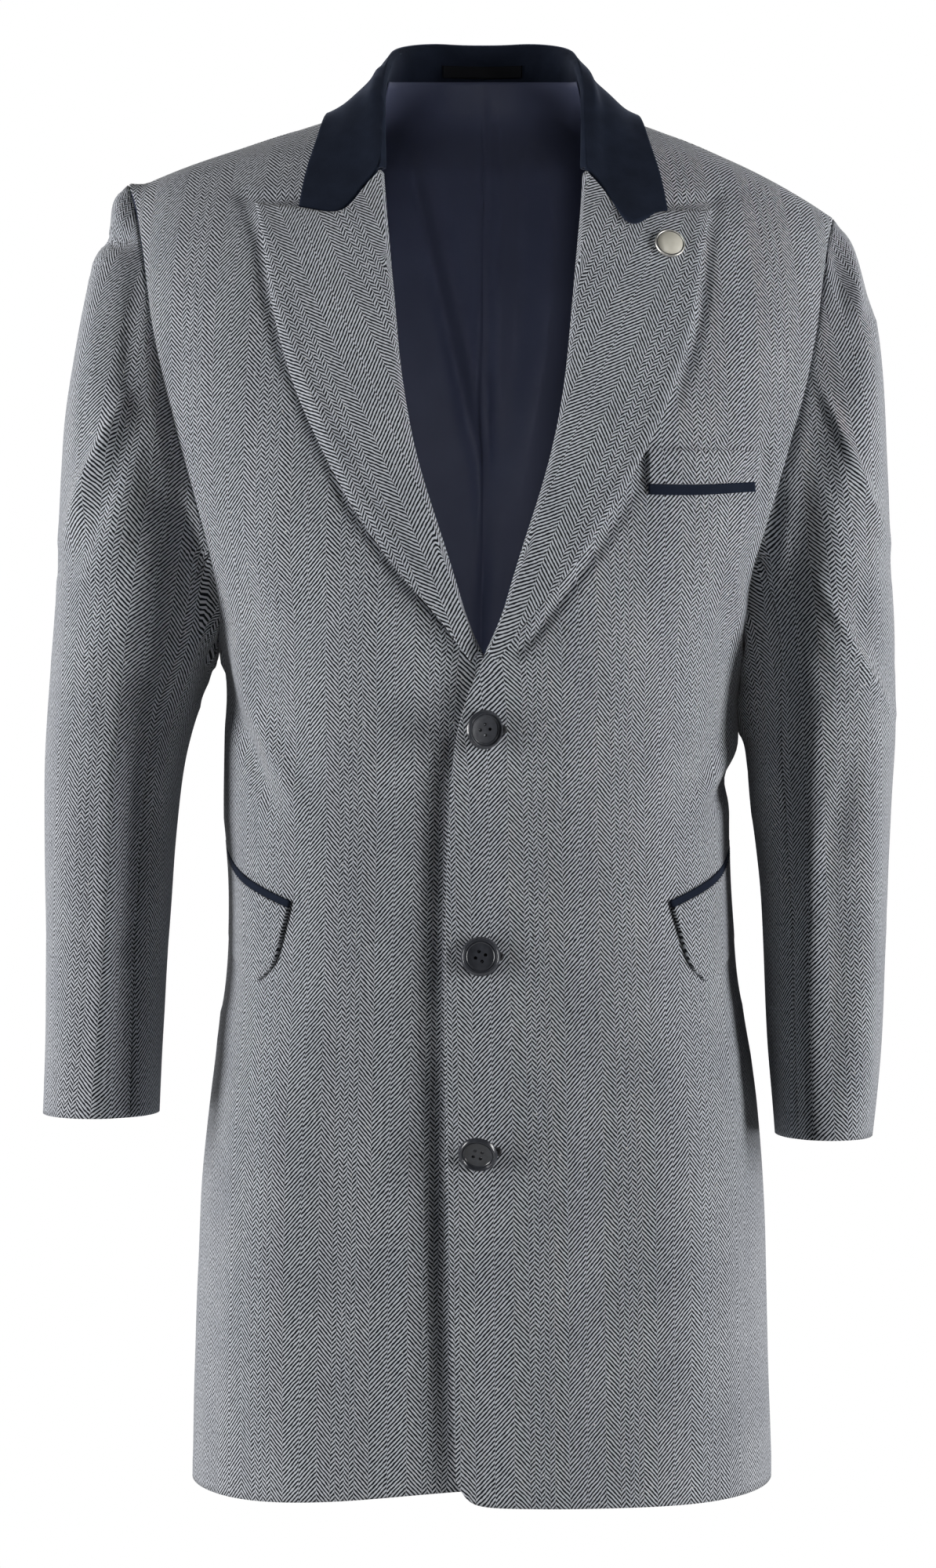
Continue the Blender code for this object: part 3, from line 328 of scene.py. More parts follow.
# %% Two close shades for each finish
# The two shades, how wide their patches are in mm and how broken up, and what is the same all over.
PILE = {
    "Roughness": 0.95, "Sheen_Weight": 0.35, "Sheen_Roughness": 0.35, "IOR": 1.45,
    "Specular_IOR_Level": 0.1, "Sheen_Tint": linear("9aa3bb"),
}
LINING_SHINE = {"Roughness": 0.5, "IOR": 1.5, "Sheen_Weight": 0.02, "Specular_IOR_Level": 0.2}
RIBBON_SHINE = {"Roughness": 0.6, "IOR": 1.5, "Sheen_Weight": 0.014, "Specular_IOR_Level": 0.14}
GLOSS = {"IOR": 1.54, "Coat_Weight": 0.25}
SPUN = {"Roughness": 0.7, "Sheen_Weight": 0.2}
POURED = {"Roughness": 0.3, "IOR": 1.5}
FINISHES = {
    "cotton velvet, cut pile": ("191e29", "293040", 14, 3.0, PILE),
    # The satin's shades are its own dark navy painted lighter: painted light that stands in for the light
    # the lining inside the neck does not get.
    "viscose satin, warp-faced, painted lighter": ("5a6079", "6b718e", 60, 2.0, LINING_SHINE),
    "satin ribbon, close-woven": ("0a0b10", "11131a", 60, 2.0, RIBBON_SHINE),
    "polyester button, moulded and tumbled": ("34363b", "4a4c53", 3, 4.0, GLOSS),
    "polyester buttonhole twist, spun": ("0b0c10", "1f2129", 0.4, 1.0, SPUN),
    "nickel plate, polished": ("dedcd6", "efede8", 1.5, 3.0, {"Metallic": 1.0}),
    "cream enamel, poured": ("dedacb", "e8e4d7", 4, 2.0, POURED),
    "dark enamel, poured": ("2b2b2d", "37373a", 4, 2.0, POURED),
    "matt pale paper floor": ("c6c6c3", "d0d0cd", 6, 2.0, {"Roughness": 0.9}),
}
finishes = []
patches = {}
for name, (deep, light, patch, detail, even) in FINISHES.items():
    material, shader = new_material(name, **even)
    spot = add_node(material, "ShaderNodeTexCoord").outputs["Object"]
    settings = {"Vector": spot, "Scale": 1 / (patch * MM), "Detail": detail}
    patches[material] = add_node(material, "ShaderNodeTexNoise", settings).outputs[0]
    shades = {FACTOR: patches[material], COLOUR_A: linear(deep), COLOUR_B: linear(light)}
    mix = add_node(material, "ShaderNodeMix", shades, data_type="RGBA")
    join(material, mix.outputs[COLOUR_OUT], shader.inputs["Base Color"])
    finishes.append(material)
    print("made", name)
velvet, satin, ribbon, plastic, thread, nickel, cream, dark_line, paper = finishes

# %% The velvet's pile and the satins' threads
# How wide they are in mm, how much they are drawn out upwards, and how deep and strong the relief is. Real
# satin has some 40 threads to the centimetre; here they are a millimetre wide so that they show.
RELIEFS = {
    velvet: (0.9, 1.0, 0.25, 0.5),
    satin: (1.0, 0.06, 0.08, 0.3),
    ribbon: (1.0, 0.06, 0.08, 0.3),
}
for material, (width, drawn_out, depth, strength) in RELIEFS.items():
    spot = add_node(material, "ShaderNodeTexCoord").outputs["Object"]
    settings = {"Vector": spot, "Scale": (1.0, 1.0, drawn_out)}
    drawn = add_node(material, "ShaderNodeMapping", settings).outputs[0]
    settings = {"Vector": drawn, "Scale": 1 / (width * MM), "Detail": 1.0}
    hairs = add_node(material, "ShaderNodeTexNoise", settings).outputs[0]
    settings = {"Height": hairs, "Distance": depth * MM, "Strength": strength}
    bump = add_node(material, "ShaderNodeBump", settings)
    join(material, bump.outputs[0], material.node_tree.nodes["Principled BSDF"].inputs["Normal"])
print("reliefs:", len(RELIEFS))

# %% Scuffs on the buttons and the pin's plate
SCUFFS = {plastic: (0.18, 0.3), nickel: (0.34, 0.5)}
for material, (smoothest, roughest) in SCUFFS.items():
    settings = {"Value": patches[material], "To Min": smoothest, "To Max": roughest}
    gloss = add_node(material, "ShaderNodeMapRange", settings)
    join(material, gloss.outputs[0], material.node_tree.nodes["Principled BSDF"].inputs["Roughness"])
print("scuffed:", len(SCUFFS))

# %% [markdown]
# ## From a wall to a sheet of cloth
#
# A packed wall is a closed solid: an outer sheet, an inner sheet and a narrow rim. Cloth is easier to
# shape as one open sheet that gets its thickness last. So a copy of the wall is welded, its rim is
# taken off, and the sheet on the outside of the bends is kept: the outside of a bend is always longer,
# so it is the larger one.

# %% Helper: the loose parts of a mesh
WELD = 0.01 * MM


def loose_parts(bm):
    """The faces in groups that hang together, the largest first."""
    left = set(bm.faces)
    parts = []
    while left:
        part = {left.pop()}
        frontier = list(part)
        while frontier:
            face = frontier.pop()
            near = {other for edge in face.edges for other in edge.link_faces} & left
            left -= near
            part |= near
            frontier.extend(near)
        parts.append(part)
    return sorted(parts, key=lambda part: -sum(face.calc_area() for face in part))


print("welding within", WELD / MM, "mm")

# %% Helper: one sheet of a wall
RIM_SHARE = 1.15
FOLD_ANGLE = math.radians(50)
BENT_NODES = ("collar", "lapel_left", "lapel_right")


def one_sheet(node, wall, outside=True):
    """One sheet of a packed wall, as a bmesh of four-sided faces where they can be found again."""
    bm = bmesh.new()
    bm.from_mesh(nodes[node].data)
    bmesh.ops.remove_doubles(bm, verts=bm.verts, dist=WELD)
    if node in BENT_NODES:
        inner = [edge for edge in bm.edges if len(edge.link_faces) == 2]
        sharp = [edge for edge in inner if edge.calc_face_angle() > FOLD_ANGLE]
        bmesh.ops.split_edges(bm, edges=sharp)
    else:
        short = RIM_SHARE * wall * MM
        rim = [face for face in bm.faces if min(edge.calc_length() for edge in face.edges) < short]
        bmesh.ops.delete(bm, geom=rim, context="FACES")
    kept = loose_parts(bm)[0 if outside else 1]
    bmesh.ops.delete(bm, geom=[face for face in bm.faces if face not in kept], context="FACES")
    longest = {face: max(face.edges, key=lambda edge: edge.calc_length()) for face in kept}
    diagonals = [
        edge
        for edge in bm.edges
        if len(edge.link_faces) == 2 and all(longest[face] is edge for face in edge.link_faces)
    ]
    bmesh.ops.dissolve_edges(bm, edges=diagonals, use_verts=False)
    bmesh.ops.join_triangles(bm, faces=bm.faces, angle_face_threshold=1.5, angle_shape_threshold=2.0)
    return bm


def add_piece(name, bm, material):
    """A new object from a bmesh, with its first material."""
    mesh = bpy.data.meshes.new(name)
    bm.to_mesh(mesh)
    bm.free()
    mesh.materials.append(material)
    piece = bpy.data.objects.new(name, mesh)
    bpy.context.scene.collection.objects.link(piece)
    return piece


def sew_on(piece, node=None):
    """Makes a piece part of the coat, and hides the node that it stands for, if one is given."""
    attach(piece, "root")
    if node:
        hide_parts(node)


print("helpers ready for", len(nodes), "nodes")

# %% [markdown]
# ## The flat cut
#
# Every panel was cut from flat cloth, and its weave follows that cut, not the room's axes. Unwrapping
# the sheet lays it flat again. The result is scaled to metres, turned until the warp runs straight up,
# and slid until the middle of a wide band passes the place where the photograph has one. Its width,
# length and area are the cut.

# %% Helper: numbers of a mesh as arrays
def points_of(mesh):
    """All vertex places, one row each."""
    places = np.zeros(len(mesh.vertices) * 3)
    mesh.vertices.foreach_get("co", places)
    return places.reshape(-1, 3)


def move_points(mesh, places):
    """Puts every vertex at the place in its row."""
    mesh.vertices.foreach_set("co", places.ravel())
    mesh.update()


def surface_tree(mesh):
    """A tree that finds places on a mesh's faces."""
    corners = [vertex.co for vertex in mesh.vertices]
    return BVHTree.FromPolygons(corners, [face.vertices for face in mesh.polygons])


def normals_of(mesh):
    """All vertex normals, one row each."""
    normals = np.zeros(len(mesh.vertices) * 3)
    mesh.vertex_normals.foreach_get("vector", normals)
    return normals.reshape(-1, 3)


def cut_of(mesh):
    """The flat cut's place at every face corner, and the vertex of that corner."""
    flat = np.zeros(len(mesh.loops) * 2)
    mesh.uv_layers["cut"].data.foreach_get("uv", flat)
    corners = np.zeros(len(mesh.loops), int)
    mesh.loops.foreach_get("vertex_index", corners)
    return flat.reshape(-1, 2), corners


def flat_area(mesh, flat):
    """The area of the flat cut, above zero where it is seen from its right side."""
    total = 0.0
    for face in mesh.polygons:
        corner = flat[face.loop_start:face.loop_start + face.loop_total]
        after = np.roll(corner, -1, axis=0)
        total += np.sum(corner[:, 0] * after[:, 1] - after[:, 0] * corner[:, 1]) / 2
    return total


print("array helpers ready")

# %% Helper: unwrap a sheet to its flat cut
UP = (0.0, 0.0, 1.0)


def lay_flat(piece):
    """Gives a strip its flat cut in metres, the long side upright."""
    mesh = piece.data
    for other in bpy.context.view_layer.objects:
        other.select_set(other == piece)
    bpy.context.view_layer.objects.active = piece
    mesh.uv_layers.new(name="cut")
    bpy.ops.object.mode_set(mode="EDIT")
    bpy.ops.mesh.select_all(action="SELECT")
    bpy.ops.uv.unwrap(method="ANGLE_BASED", margin=0.0)
    bpy.ops.object.mode_set(mode="OBJECT")
    flat = cut_of(mesh)[0]
    covered = flat_area(mesh, flat)
    if covered < 0:
        flat[:, 0] *= -1
    flat *= math.sqrt(sum(face.area for face in mesh.polygons) / abs(covered))
    slope = np.linalg.svd(flat - flat.mean(axis=0), full_matrices=False)[2][0]
    flat = np.column_stack([flat @ (slope[1], -slope[0]), flat @ slope])
    piece["cut_size"] = (flat.max(axis=0) - flat.min(axis=0)).tolist()
    mesh.uv_layers["cut"].data.foreach_set("uv", flat.ravel())
    return piece


def cut_on_grain(piece, warp, weft=None, band_at=None):
    """Gives a panel its flat cut in metres, the warp upright, a wide band's middle at a pixel.

    Each edge of the sheet has a length up the warp and a length across it. The cut is the flat shape that
    keeps these lengths best. Where the cloth lies level, as on a shoulder, the weft tells which way the
    warp runs.
    """
    mesh = piece.data
    places = points_of(mesh)
    ends = np.empty(len(mesh.edges) * 2, dtype=np.int32)
    mesh.edges.foreach_get("vertices", ends)
    first, last = ends.reshape(-1, 2).T
    normals = normals_of(mesh)
    facing = normals[first] + normals[last]
    facing /= np.linalg.norm(facing, axis=1)[:, None]
    upwards = np.array(warp) - facing * (facing @ np.array(warp))[:, None]
    if weft is not None:
        across = np.array(weft) - facing * (facing @ np.array(weft))[:, None]
        upwards += np.cross(facing, across)
    upwards /= np.linalg.norm(upwards, axis=1)[:, None]
    sideways = np.cross(upwards, facing)
    steps = places[last] - places[first]
    wanted = np.column_stack([np.sum(steps * sideways, axis=1), np.sum(steps * upwards, axis=1)])
    system = np.zeros((len(steps), len(places)))
    rows = np.arange(len(steps))
    system[rows, first] = -1
    system[rows, last] = 1
    flat = np.linalg.lstsq(system, wanted, rcond=None)[0]
    piece["cut_size"] = (flat.max(axis=0) - flat.min(axis=0)).tolist()
    if band_at:
        seen = np.where(normals[:, 1] < 0, 0.0, len(places) * 1.0)
        near = np.argmin(np.linalg.norm(in_photo(places) - band_at, axis=1) + seen)
        missed = (in_photo(places[near:near + 1])[0] - band_at)[0] * PIXEL
        flat[:, 0] -= flat[near, 0] - missed
    mesh.uv_layers.new(name="cut")
    corners = np.empty(len(mesh.loops), dtype=np.int32)
    mesh.loops.foreach_get("vertex_index", corners)
    mesh.uv_layers["cut"].data.foreach_set("uv", flat[corners].ravel())
    return piece


def share_cut(piece, under):
    """Takes the cut's places from the panel under the piece, so that the pattern runs through."""
    mesh = piece.data
    mesh.uv_layers.new(name="cut")
    below = under.data
    flat = cut_of(below)[0]
    tree = surface_tree(below)
    for loop, target in zip(mesh.loops, mesh.uv_layers["cut"].data):
        hit, normal, index, distance = tree.find_nearest(mesh.vertices[loop.vertex_index].co)
        face = below.polygons[index]
        weights = poly_3d_calc([below.vertices[place].co for place in face.vertices], hit)
        target.uv = np.array(weights) @ flat[face.loop_start:face.loop_start + face.loop_total]
    spread = cut_of(mesh)[0]
    piece["cut_size"] = (spread.max(axis=0) - spread.min(axis=0)).tolist()
    return piece


print("flat cuts are in metres")

# %% [markdown]
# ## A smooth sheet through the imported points
#
# Subdivision rounds a sheet off, but it also draws it in from its cage, and here each sheet has to stay
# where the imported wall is. So the cage is pushed out by what the surface missed, a few times over,
# until the smooth sheet is level with the points it started from. It is pushed only outwards, so that
# the weave isn't squeezed.

# %% Helper: subdivide without shrinking
PUSHES = 3


def smooth_through(piece, levels):
    """Makes the sheet smooth and fine, through its own points."""
    mesh = piece.data
    wanted = points_of(mesh)
    outwards = normals_of(mesh)
    cage = wanted.copy()
    finer = piece.modifiers.new("finer", "SUBSURF")
    finer.levels = levels
    finer.render_levels = levels
    finer.boundary_smooth = "PRESERVE_CORNERS"
    for turn in range(PUSHES + 1):
        bpy.context.view_layer.update()
        shown = piece.evaluated_get(bpy.context.evaluated_depsgraph_get())
        missed = np.sum((wanted - points_of(shown.data)[:len(wanted)]) * outwards, axis=1)
        if turn < PUSHES:
            cage += missed[:, None] * outwards
            move_points(mesh, cage)
    made = bpy.data.meshes.new_from_object(shown)
    made.name = mesh.name
    piece.modifiers.clear()
    piece.data = made
    made.shade_smooth()
    return float(np.abs(missed).max() / MM)


print("pushes:", PUSHES)

# %% [markdown]
# ## Creases
#
# Thick wool makes few creases, and soft ones: a drag from the armhole, a break at the elbow, a pull
# from the top button and long shallow flutes in the skirt. A cloth simulation would give others than
# the photograph has, so each is given as a path with its own width and height, a ridge above zero and
# a trough below. Paths on the front are in the photograph's pixels, and those on the hidden side in
# millimetres.

# %% Helper: soft ridges and troughs along paths
END_FADE = 0.6


def along_path(spots, path):
    """Each spot's distance from a path, and how far along it the nearest place is, from 0 to 1."""
    path = np.array(path, float)
    lengths = np.linalg.norm(np.diff(path, axis=0), axis=1)
    before = np.concatenate([[0.0], np.cumsum(lengths)])
    nearest = np.full(len(spots), np.inf)
    along = np.zeros(len(spots))
    for start, end, length, done in zip(path[:-1], path[1:], lengths, before):
        share = np.clip((spots - start) @ (end - start) / length**2, 0, 1)
        away = np.linalg.norm(spots - start - share[:, None] * (end - start), axis=1)
        closer = away < nearest
        nearest = np.where(closer, away, nearest)
        along = np.where(closer, (done + share * length) / before[-1], along)
    return nearest, along


def fold_heights(spots, folds):
    """How far out the folds lift each spot, in metres."""
    total = np.zeros(len(spots))
    for path, width, height in folds:
        away, along = along_path(spots, path)
        fade = np.sin(np.pi * np.clip(along, 0, 1)) ** END_FADE
        total += height * MM * fade * np.exp(-((away / width) ** 2))
    return total


def smooth_step(values, low, high):
    """Rises from 0 at low to 1 at high, without a corner."""
    share = np.clip((values - low) / (high - low), 0, 1)
    return share * share * (3 - 2 * share)


print("fold helpers ready")

# %% Folds of the fronts, in the photograph's pixels
FRONT_FOLDS = [
    # The wearer's right side: the break under the arm and the pull to the top button.
    ([(302, 800), (308, 849), (322, 899), (341, 940), (388, 1045)], 13, 4.2),
    ([(284, 830), (288, 866), (298, 910), (313, 950), (352, 1040)], 10, -4.6),
    ([(268, 815), (262, 850), (256, 900)], 15, -4.5),
    ([(597, 938), (520, 908), (420, 902)], 18, -1.6),
    ([(597, 955), (500, 978), (395, 985)], 20, 1.3),
    ([(585, 1010), (480, 1045), (385, 1062)], 24, -1.3),
    ([(480, 690), (405, 770), (345, 870)], 38, -2.2),
    ([(375, 540), (345, 680), (325, 790)], 30, 1.6),
    ([(262, 660), (305, 730), (345, 830)], 20, -1.6),
    ([(300, 330), (275, 430), (270, 540)], 34, 1.2),
    # The outer ends of the hip pockets, held in by the side seams.
    ([(272, 1050), (278, 1110), (280, 1190), (284, 1290)], 20, -3.6),
    ([(948, 1040), (944, 1100), (942, 1180), (936, 1280)], 20, -2.6),
    # The skirt on that side.
    ([(352, 1290), (336, 1600), (330, 1895)], 36, 2.2),
    ([(432, 1240), (426, 1560), (418, 1890)], 40, -1.7),
    ([(505, 1330), (508, 1600), (500, 1890)], 36, 1.3),
    ([(278, 1330), (264, 1600), (262, 1860)], 22, -2.4),
    # The wearer's left side.
    ([(954, 880), (938, 925), (918, 982), (886, 1040)], 13, 5.0),
    ([(950, 936), (934, 980), (905, 1038)], 11, -4.4),
    ([(938, 720), (948, 800), (953, 860), (951, 920), (938, 980)], 15, 6.0),
    ([(640, 938), (740, 922), (850, 936)], 20, -1.5),
    ([(648, 962), (760, 990), (880, 992)], 22, 1.4),
    ([(960, 690), (930, 800), (905, 900)], 26, -2.0),
    ([(1000, 560), (965, 640), (935, 740)], 17, 1.6),
    ([(790, 650), (825, 770), (850, 890)], 38, -2.0),
    ([(930, 340), (960, 430), (965, 540)], 34, 1.2),
    ([(695, 1500), (684, 1720), (680, 1905)], 34, 1.4),
    ([(772, 1340), (778, 1640), (772, 1915)], 40, -1.8),
    ([(858, 1290), (882, 1600), (892, 1910)], 36, 2.4),
    ([(945, 1350), (962, 1600), (965, 1850)], 22, -2.6),
]
print("folds on the fronts:", len(FRONT_FOLDS))

# %% Lines pressed into the fronts beside what is laid on them
EDGE_FOLDS = [
    # Along the outer edges of the lapels.
    ([(306, 236), (314, 262), (330, 307), (340, 374), (362, 458), (407, 563)], 8, -3.2),
    ([(384, 500), (407, 563), (443, 641), (516, 741), (565, 790), (610, 842)], 8, -3.2),
    ([(912, 246), (908, 280), (900, 349), (895, 400), (879, 461), (856, 528)], 8, -3.2),
    ([(822, 604), (808, 630), (772, 686), (738, 734), (681, 811), (630, 872)], 8, -3.2),
    # Above the peaks, and round the breast welt.
    ([(408, 251), (350, 252), (296, 252)], 7, -3.0),
    ([(826, 264), (880, 257), (926, 250)], 7, -3.0),
    ([(815, 569), (900, 568), (1005, 570)], 6, -2.4),
    ([(980, 550), (975, 590), (969, 645)], 6, -2.0),
]
print("pressed lines:", len(EDGE_FOLDS))

# %% Folds of the sleeves, in the photograph's pixels
SLEEVE_FOLDS = [
    # The wearer's right sleeve: the rolled head, and the breaks above the elbow.
    ([(176, 226), (158, 250), (152, 292)], 12, 7.0),
    ([(172, 306), (142, 306), (118, 306)], 8, -4.5),
    ([(160, 330), (134, 332), (112, 340)], 10, 1.5),
    ([(182, 300), (166, 420), (160, 520)], 12, -1.6),
    ([(163, 500), (138, 545), (115, 598), (80, 700)], 9, 5.5),
    ([(172, 540), (145, 605), (108, 690), (80, 745)], 14, -4.4),
    ([(190, 660), (150, 735), (78, 790)], 17, -2.2),
    ([(200, 740), (150, 815), (72, 862)], 19, 2.0),
    ([(190, 380), (198, 500), (214, 640)], 20, 3.0),
    ([(128, 360), (122, 480), (112, 610)], 26, -3.4),
    ([(148, 850), (140, 980), (136, 1110), (124, 1340), (116, 1470)], 13, 3.4),
    ([(188, 850), (178, 980), (172, 1110), (160, 1340), (152, 1470)], 20, -4.0),
    ([(62, 1175), (140, 1212), (212, 1188)], 17, -1.5),
    # The wearer's left sleeve: the puckered head, and two long slanting breaks.
    ([(1074, 292), (1090, 350), (1098, 410)], 7, 3.4),
    ([(1061, 300), (1070, 350), (1078, 405)], 7, -2.4),
    ([(1100, 315), (1110, 360), (1114, 410)], 8, -2.2),
    ([(1038, 475), (1074, 552), (1105, 625), (1136, 705)], 7, 3.6),
    ([(1030, 545), (1065, 615), (1100, 695), (1130, 750)], 16, -1.8),
    ([(1038, 735), (1070, 792), (1102, 850), (1143, 918)], 7, 3.4),
    ([(1062, 712), (1102, 800), (1138, 862)], 14, -1.6),
    ([(1026, 800), (1068, 880), (1112, 955)], 16, -1.8),
    ([(1042, 380), (1030, 470), (1018, 560), (996, 650), (990, 760)], 18, 3.0),
    ([(1090, 410), (1084, 500), (1082, 590)], 22, -1.6),
    ([(1044, 900), (1036, 1100), (1032, 1300), (1034, 1480)], 14, 2.6),
    ([(1080, 900), (1072, 1100), (1068, 1300), (1062, 1480)], 23, -4.0),
    ([(1122, 920), (1115, 1100), (1106, 1300), (1096, 1480)], 16, 3.0),
    ([(985, 1185), (1060, 1152), (1130, 1172)], 16, -1.5),
]
# Under the arms the sleeves turn in behind the fronts, so these are left out of the fronts.
UNDERARM_FOLDS = [
    ([(996, 620), (974, 690), (961, 750), (957, 810)], 14, -8.0),
    ([(226, 630), (250, 715), (268, 790), (276, 870)], 14, -6.0),
]
print("folds on the sleeves:", len(SLEEVE_FOLDS) + len(UNDERARM_FOLDS))

# %% Folds on the hidden side, in millimetres across and up
BACK_FOLDS = [
    ([(-62, -110), (-74, -260), (-58, -410)], 26, 2.4),
    ([(72, -95), (88, -230), (66, -380)], 22, -1.8),
    ([(-172, -205), (-126, -300), (-98, -385)], 14, 3.0),
    ([(174, -185), (138, -290), (112, -365)], 13, 2.6),
    ([(-154, -425), (-92, -442), (-18, -432)], 14, -2.2),
    ([(24, -452), (98, -430), (154, -444)], 12, -1.8),
    ([(-112, -555), (-121, -760), (-126, -905)], 22, 3.4),
    ([(-62, -605), (-56, -780), (-60, -908)], 20, -2.6),
    ([(60, -575), (70, -760), (68, -908)], 22, 2.8),
    ([(118, -560), (128, -740), (136, -905)], 20, -3.0),
]
BACK_SLEEVE_FOLDS = [
    ([(-296, -300), (-262, -330), (-222, -352)], 8, -3.6),
    ([(-300, -352), (-258, -372), (-214, -380)], 9, 2.6),
    ([(-292, -408), (-250, -418), (-216, -410)], 8, -2.8),
    ([(-262, -470), (-256, -570), (-252, -660)], 10, 1.8),
    ([(222, -318), (252, -345), (282, -352)], 8, -3.2),
    ([(218, -372), (248, -392), (280, -395)], 9, 2.8),
    ([(214, -430), (244, -436), (276, -424)], 8, -2.4),
    ([(244, -480), (240, -580), (232, -680)], 10, 1.8),
]
print("folds on the hidden side:", len(BACK_FOLDS) + len(BACK_SLEEVE_FOLDS))

# %% [markdown]
# ## The eight body and sleeve panels
#
# Two fronts, two backs and two halves to each sleeve make the shell of the coat. They are made in turn
# from their nodes, laid flat and smoothed. Their creases come after the seams between them are found.

# %% Panels of the shell
TWEED_WALL = 2.0
PANEL_LEVELS = 3
ACROSS = Vector((1, 0, 0))
LEFT_ARM = (-0.037, 0, 1)
RIGHT_ARM = (0.073, 0, 1)
# The warp, the weft, and where the middle of a wide band shows in the photograph.
PANELS = {
    "front_left": (UP, ACROSS, (629, 1630)),
    "front_right": (UP, ACROSS, (504, 900)),
    "back_left": (UP, -ACROSS, None),
    "back_right": (UP, -ACROSS, None),
    "sleeve_upper_left": (LEFT_ARM, None, (1030, 1074)),
    "sleeve_upper_right": (RIGHT_ARM, None, (160, 1117)),
    "sleeve_under_left": (LEFT_ARM, None, None),
    "sleeve_under_right": (RIGHT_ARM, None, None),
}
cloth = {}
cages = {}
for node, (warp, weft, band_at) in PANELS.items():
    piece = add_piece(f"{node}_cloth", one_sheet(node, TWEED_WALL), tweed)
    cut_on_grain(piece, warp, weft, band_at)
    cages[node] = bpy.data.objects.new(f"{node}_cage", piece.data.copy())
    missed = smooth_through(piece, PANEL_LEVELS)
    cloth[node] = piece
    print(node, len(piece.data.vertices), "points, off by", round(missed, 2), "mm")

# %% [markdown]
# ## Seams
#
# Where two panels are sewn, the thread pulls the cloth in and the seam lies in a small valley. The
# packed panels are a hair apart there, so an edge point with another panel's edge close by is on a
# seam. Near a seam both panels move along one shared direction, halfway between their own, so that they
# never part.

# %% Find the seams between panels
SEAM_REACH = 4.0 * MM


def open_edge(mesh):
    """The points along a sheet's open edges, each with its normal."""
    bm = bmesh.new()
    bm.from_mesh(mesh)
    bm.normal_update()
    found = [(vertex.co.copy(), vertex.normal.copy()) for vertex in bm.verts if vertex.is_boundary]
    bm.free()
    return found


def near_tree(points):
    """A tree that finds the nearest of some points."""
    tree = KDTree(len(points))
    for index, point in enumerate(points):
        tree.insert(point, index)
    tree.balance()
    return tree


open_edges = {node: open_edge(piece.data) for node, piece in cloth.items()}
seams = {}
for node in cloth:
    others = [spot for other, spots in open_edges.items() if other != node for spot in spots]
    tree = near_tree([place for place, normal in others])
    seams[node] = []
    for place, normal in open_edges[node]:
        found, index, away = tree.find(place)
        if away < SEAM_REACH:
            seams[node].append((place, (normal + others[index][1]).normalized()))
    print(node, "seam points:", len(seams[node]), "of", len(open_edges[node]))

# %% Helper: crease a sheet
# Where the cloth turns from the hidden side's folds to the front's, by its normal along Y.
FRONT_TURN = (0.45, -0.15)
RIPPLE_SIZE = 55 * MM
RIPPLE_HEIGHT = 0.5 * MM
SEAM_BLEND = 14 * MM
VALLEY_WIDTH = 3 * MM
VALLEY_DEPTH = 0.5 * MM


def crease(piece, front=(), hidden=(), seam=()):
    """Moves a sheet out and in by its folds, its seams and a faint unevenness."""
    mesh = piece.data
    places = points_of(mesh)
    normals = normals_of(mesh)
    valley = 0.0
    if seam:
        tree = near_tree([place for place, shared in seam])
        near = [tree.find(Vector(place)) for place in places]
        away = np.array([distance for found, index, distance in near])
        shared = np.array([seam[index][1] for found, index, distance in near])
        share = np.exp(-((away / SEAM_BLEND) ** 2))[:, None]
        normals = normals * (1 - share) + shared * share
        normals /= np.linalg.norm(normals, axis=1)[:, None]
        valley = VALLEY_DEPTH * np.exp(-((away / VALLEY_WIDTH) ** 2))
    faces_front = smooth_step(normals[:, 1], *FRONT_TURN)
    lift = faces_front * fold_heights(in_photo(places), front)
    lift += (1 - faces_front) * fold_heights(places[:, [0, 2]] / MM, hidden)
    lift += [RIPPLE_HEIGHT * noise.noise(Vector(place) / RIPPLE_SIZE) for place in places]
    move_points(mesh, places + (lift - valley)[:, None] * normals)
    return lift / MM


print("ripples of", RIPPLE_HEIGHT / MM, "mm, seams sunk by", VALLEY_DEPTH / MM, "mm")

# %% Crease the panels
SHELL_FOLDS = FRONT_FOLDS + EDGE_FOLDS + SLEEVE_FOLDS
HIDDEN_FOLDS = BACK_FOLDS + BACK_SLEEVE_FOLDS
# Under the edge of the left front, the right front falls back a little.
OVERLAP_FOLDS = [
    ([(612, 845), (600, 885), (586, 940), (572, 1005), (566, 1100), (563, 1300)], 17, -4.0),
    ([(563, 1180), (564, 1420), (568, 1650), (577, 1905)], 15, -3.4),
]
for node, piece in cloth.items():
    visible = SHELL_FOLDS + (OVERLAP_FOLDS if node == "front_right" else [])
    visible += UNDERARM_FOLDS if node.startswith("sleeve") else []
    lift = crease(piece, visible, HIDDEN_FOLDS, seams[node])
    print(node, "folds from", round(lift.min(), 1), "to", round(lift.max(), 1), "mm")

# %% The turn from lapel to front edge
# Below the lapel, the front's own edge is the fold, so there it comes out level with the lapel's roll.
ROLL_OUT = 4.8 * MM
EDGE_REACH = 16 * MM
MIDDLE_HALF = 60 * MM
BREAK_TOP, BREAK_FULL = -0.352, -0.368
FLUSH_LOW, FLUSH_FULL = -0.470, -0.390
for node, turn in (("front_left", -1), ("front_right", 1)):
    mesh = cloth[node].data
    places = points_of(mesh)
    near_middle = [place for place, normal in open_edges[node] if abs(place.x) < MIDDLE_HALF]
    edge = [place for place in near_middle if FLUSH_LOW < place.z < BREAK_TOP]
    tree = near_tree(edge)
    away = np.array([tree.find(Vector(place))[2] for place in places])
    level = smooth_step(places[:, 2], BREAK_TOP, BREAK_FULL)
    level *= smooth_step(places[:, 2], FLUSH_LOW, FLUSH_FULL)
    places[:, 0] += turn * ROLL_OUT * level * np.exp(-((away / EDGE_REACH) ** 2))
    move_points(mesh, places)
    print(node, "edge points brought out:", len(edge))

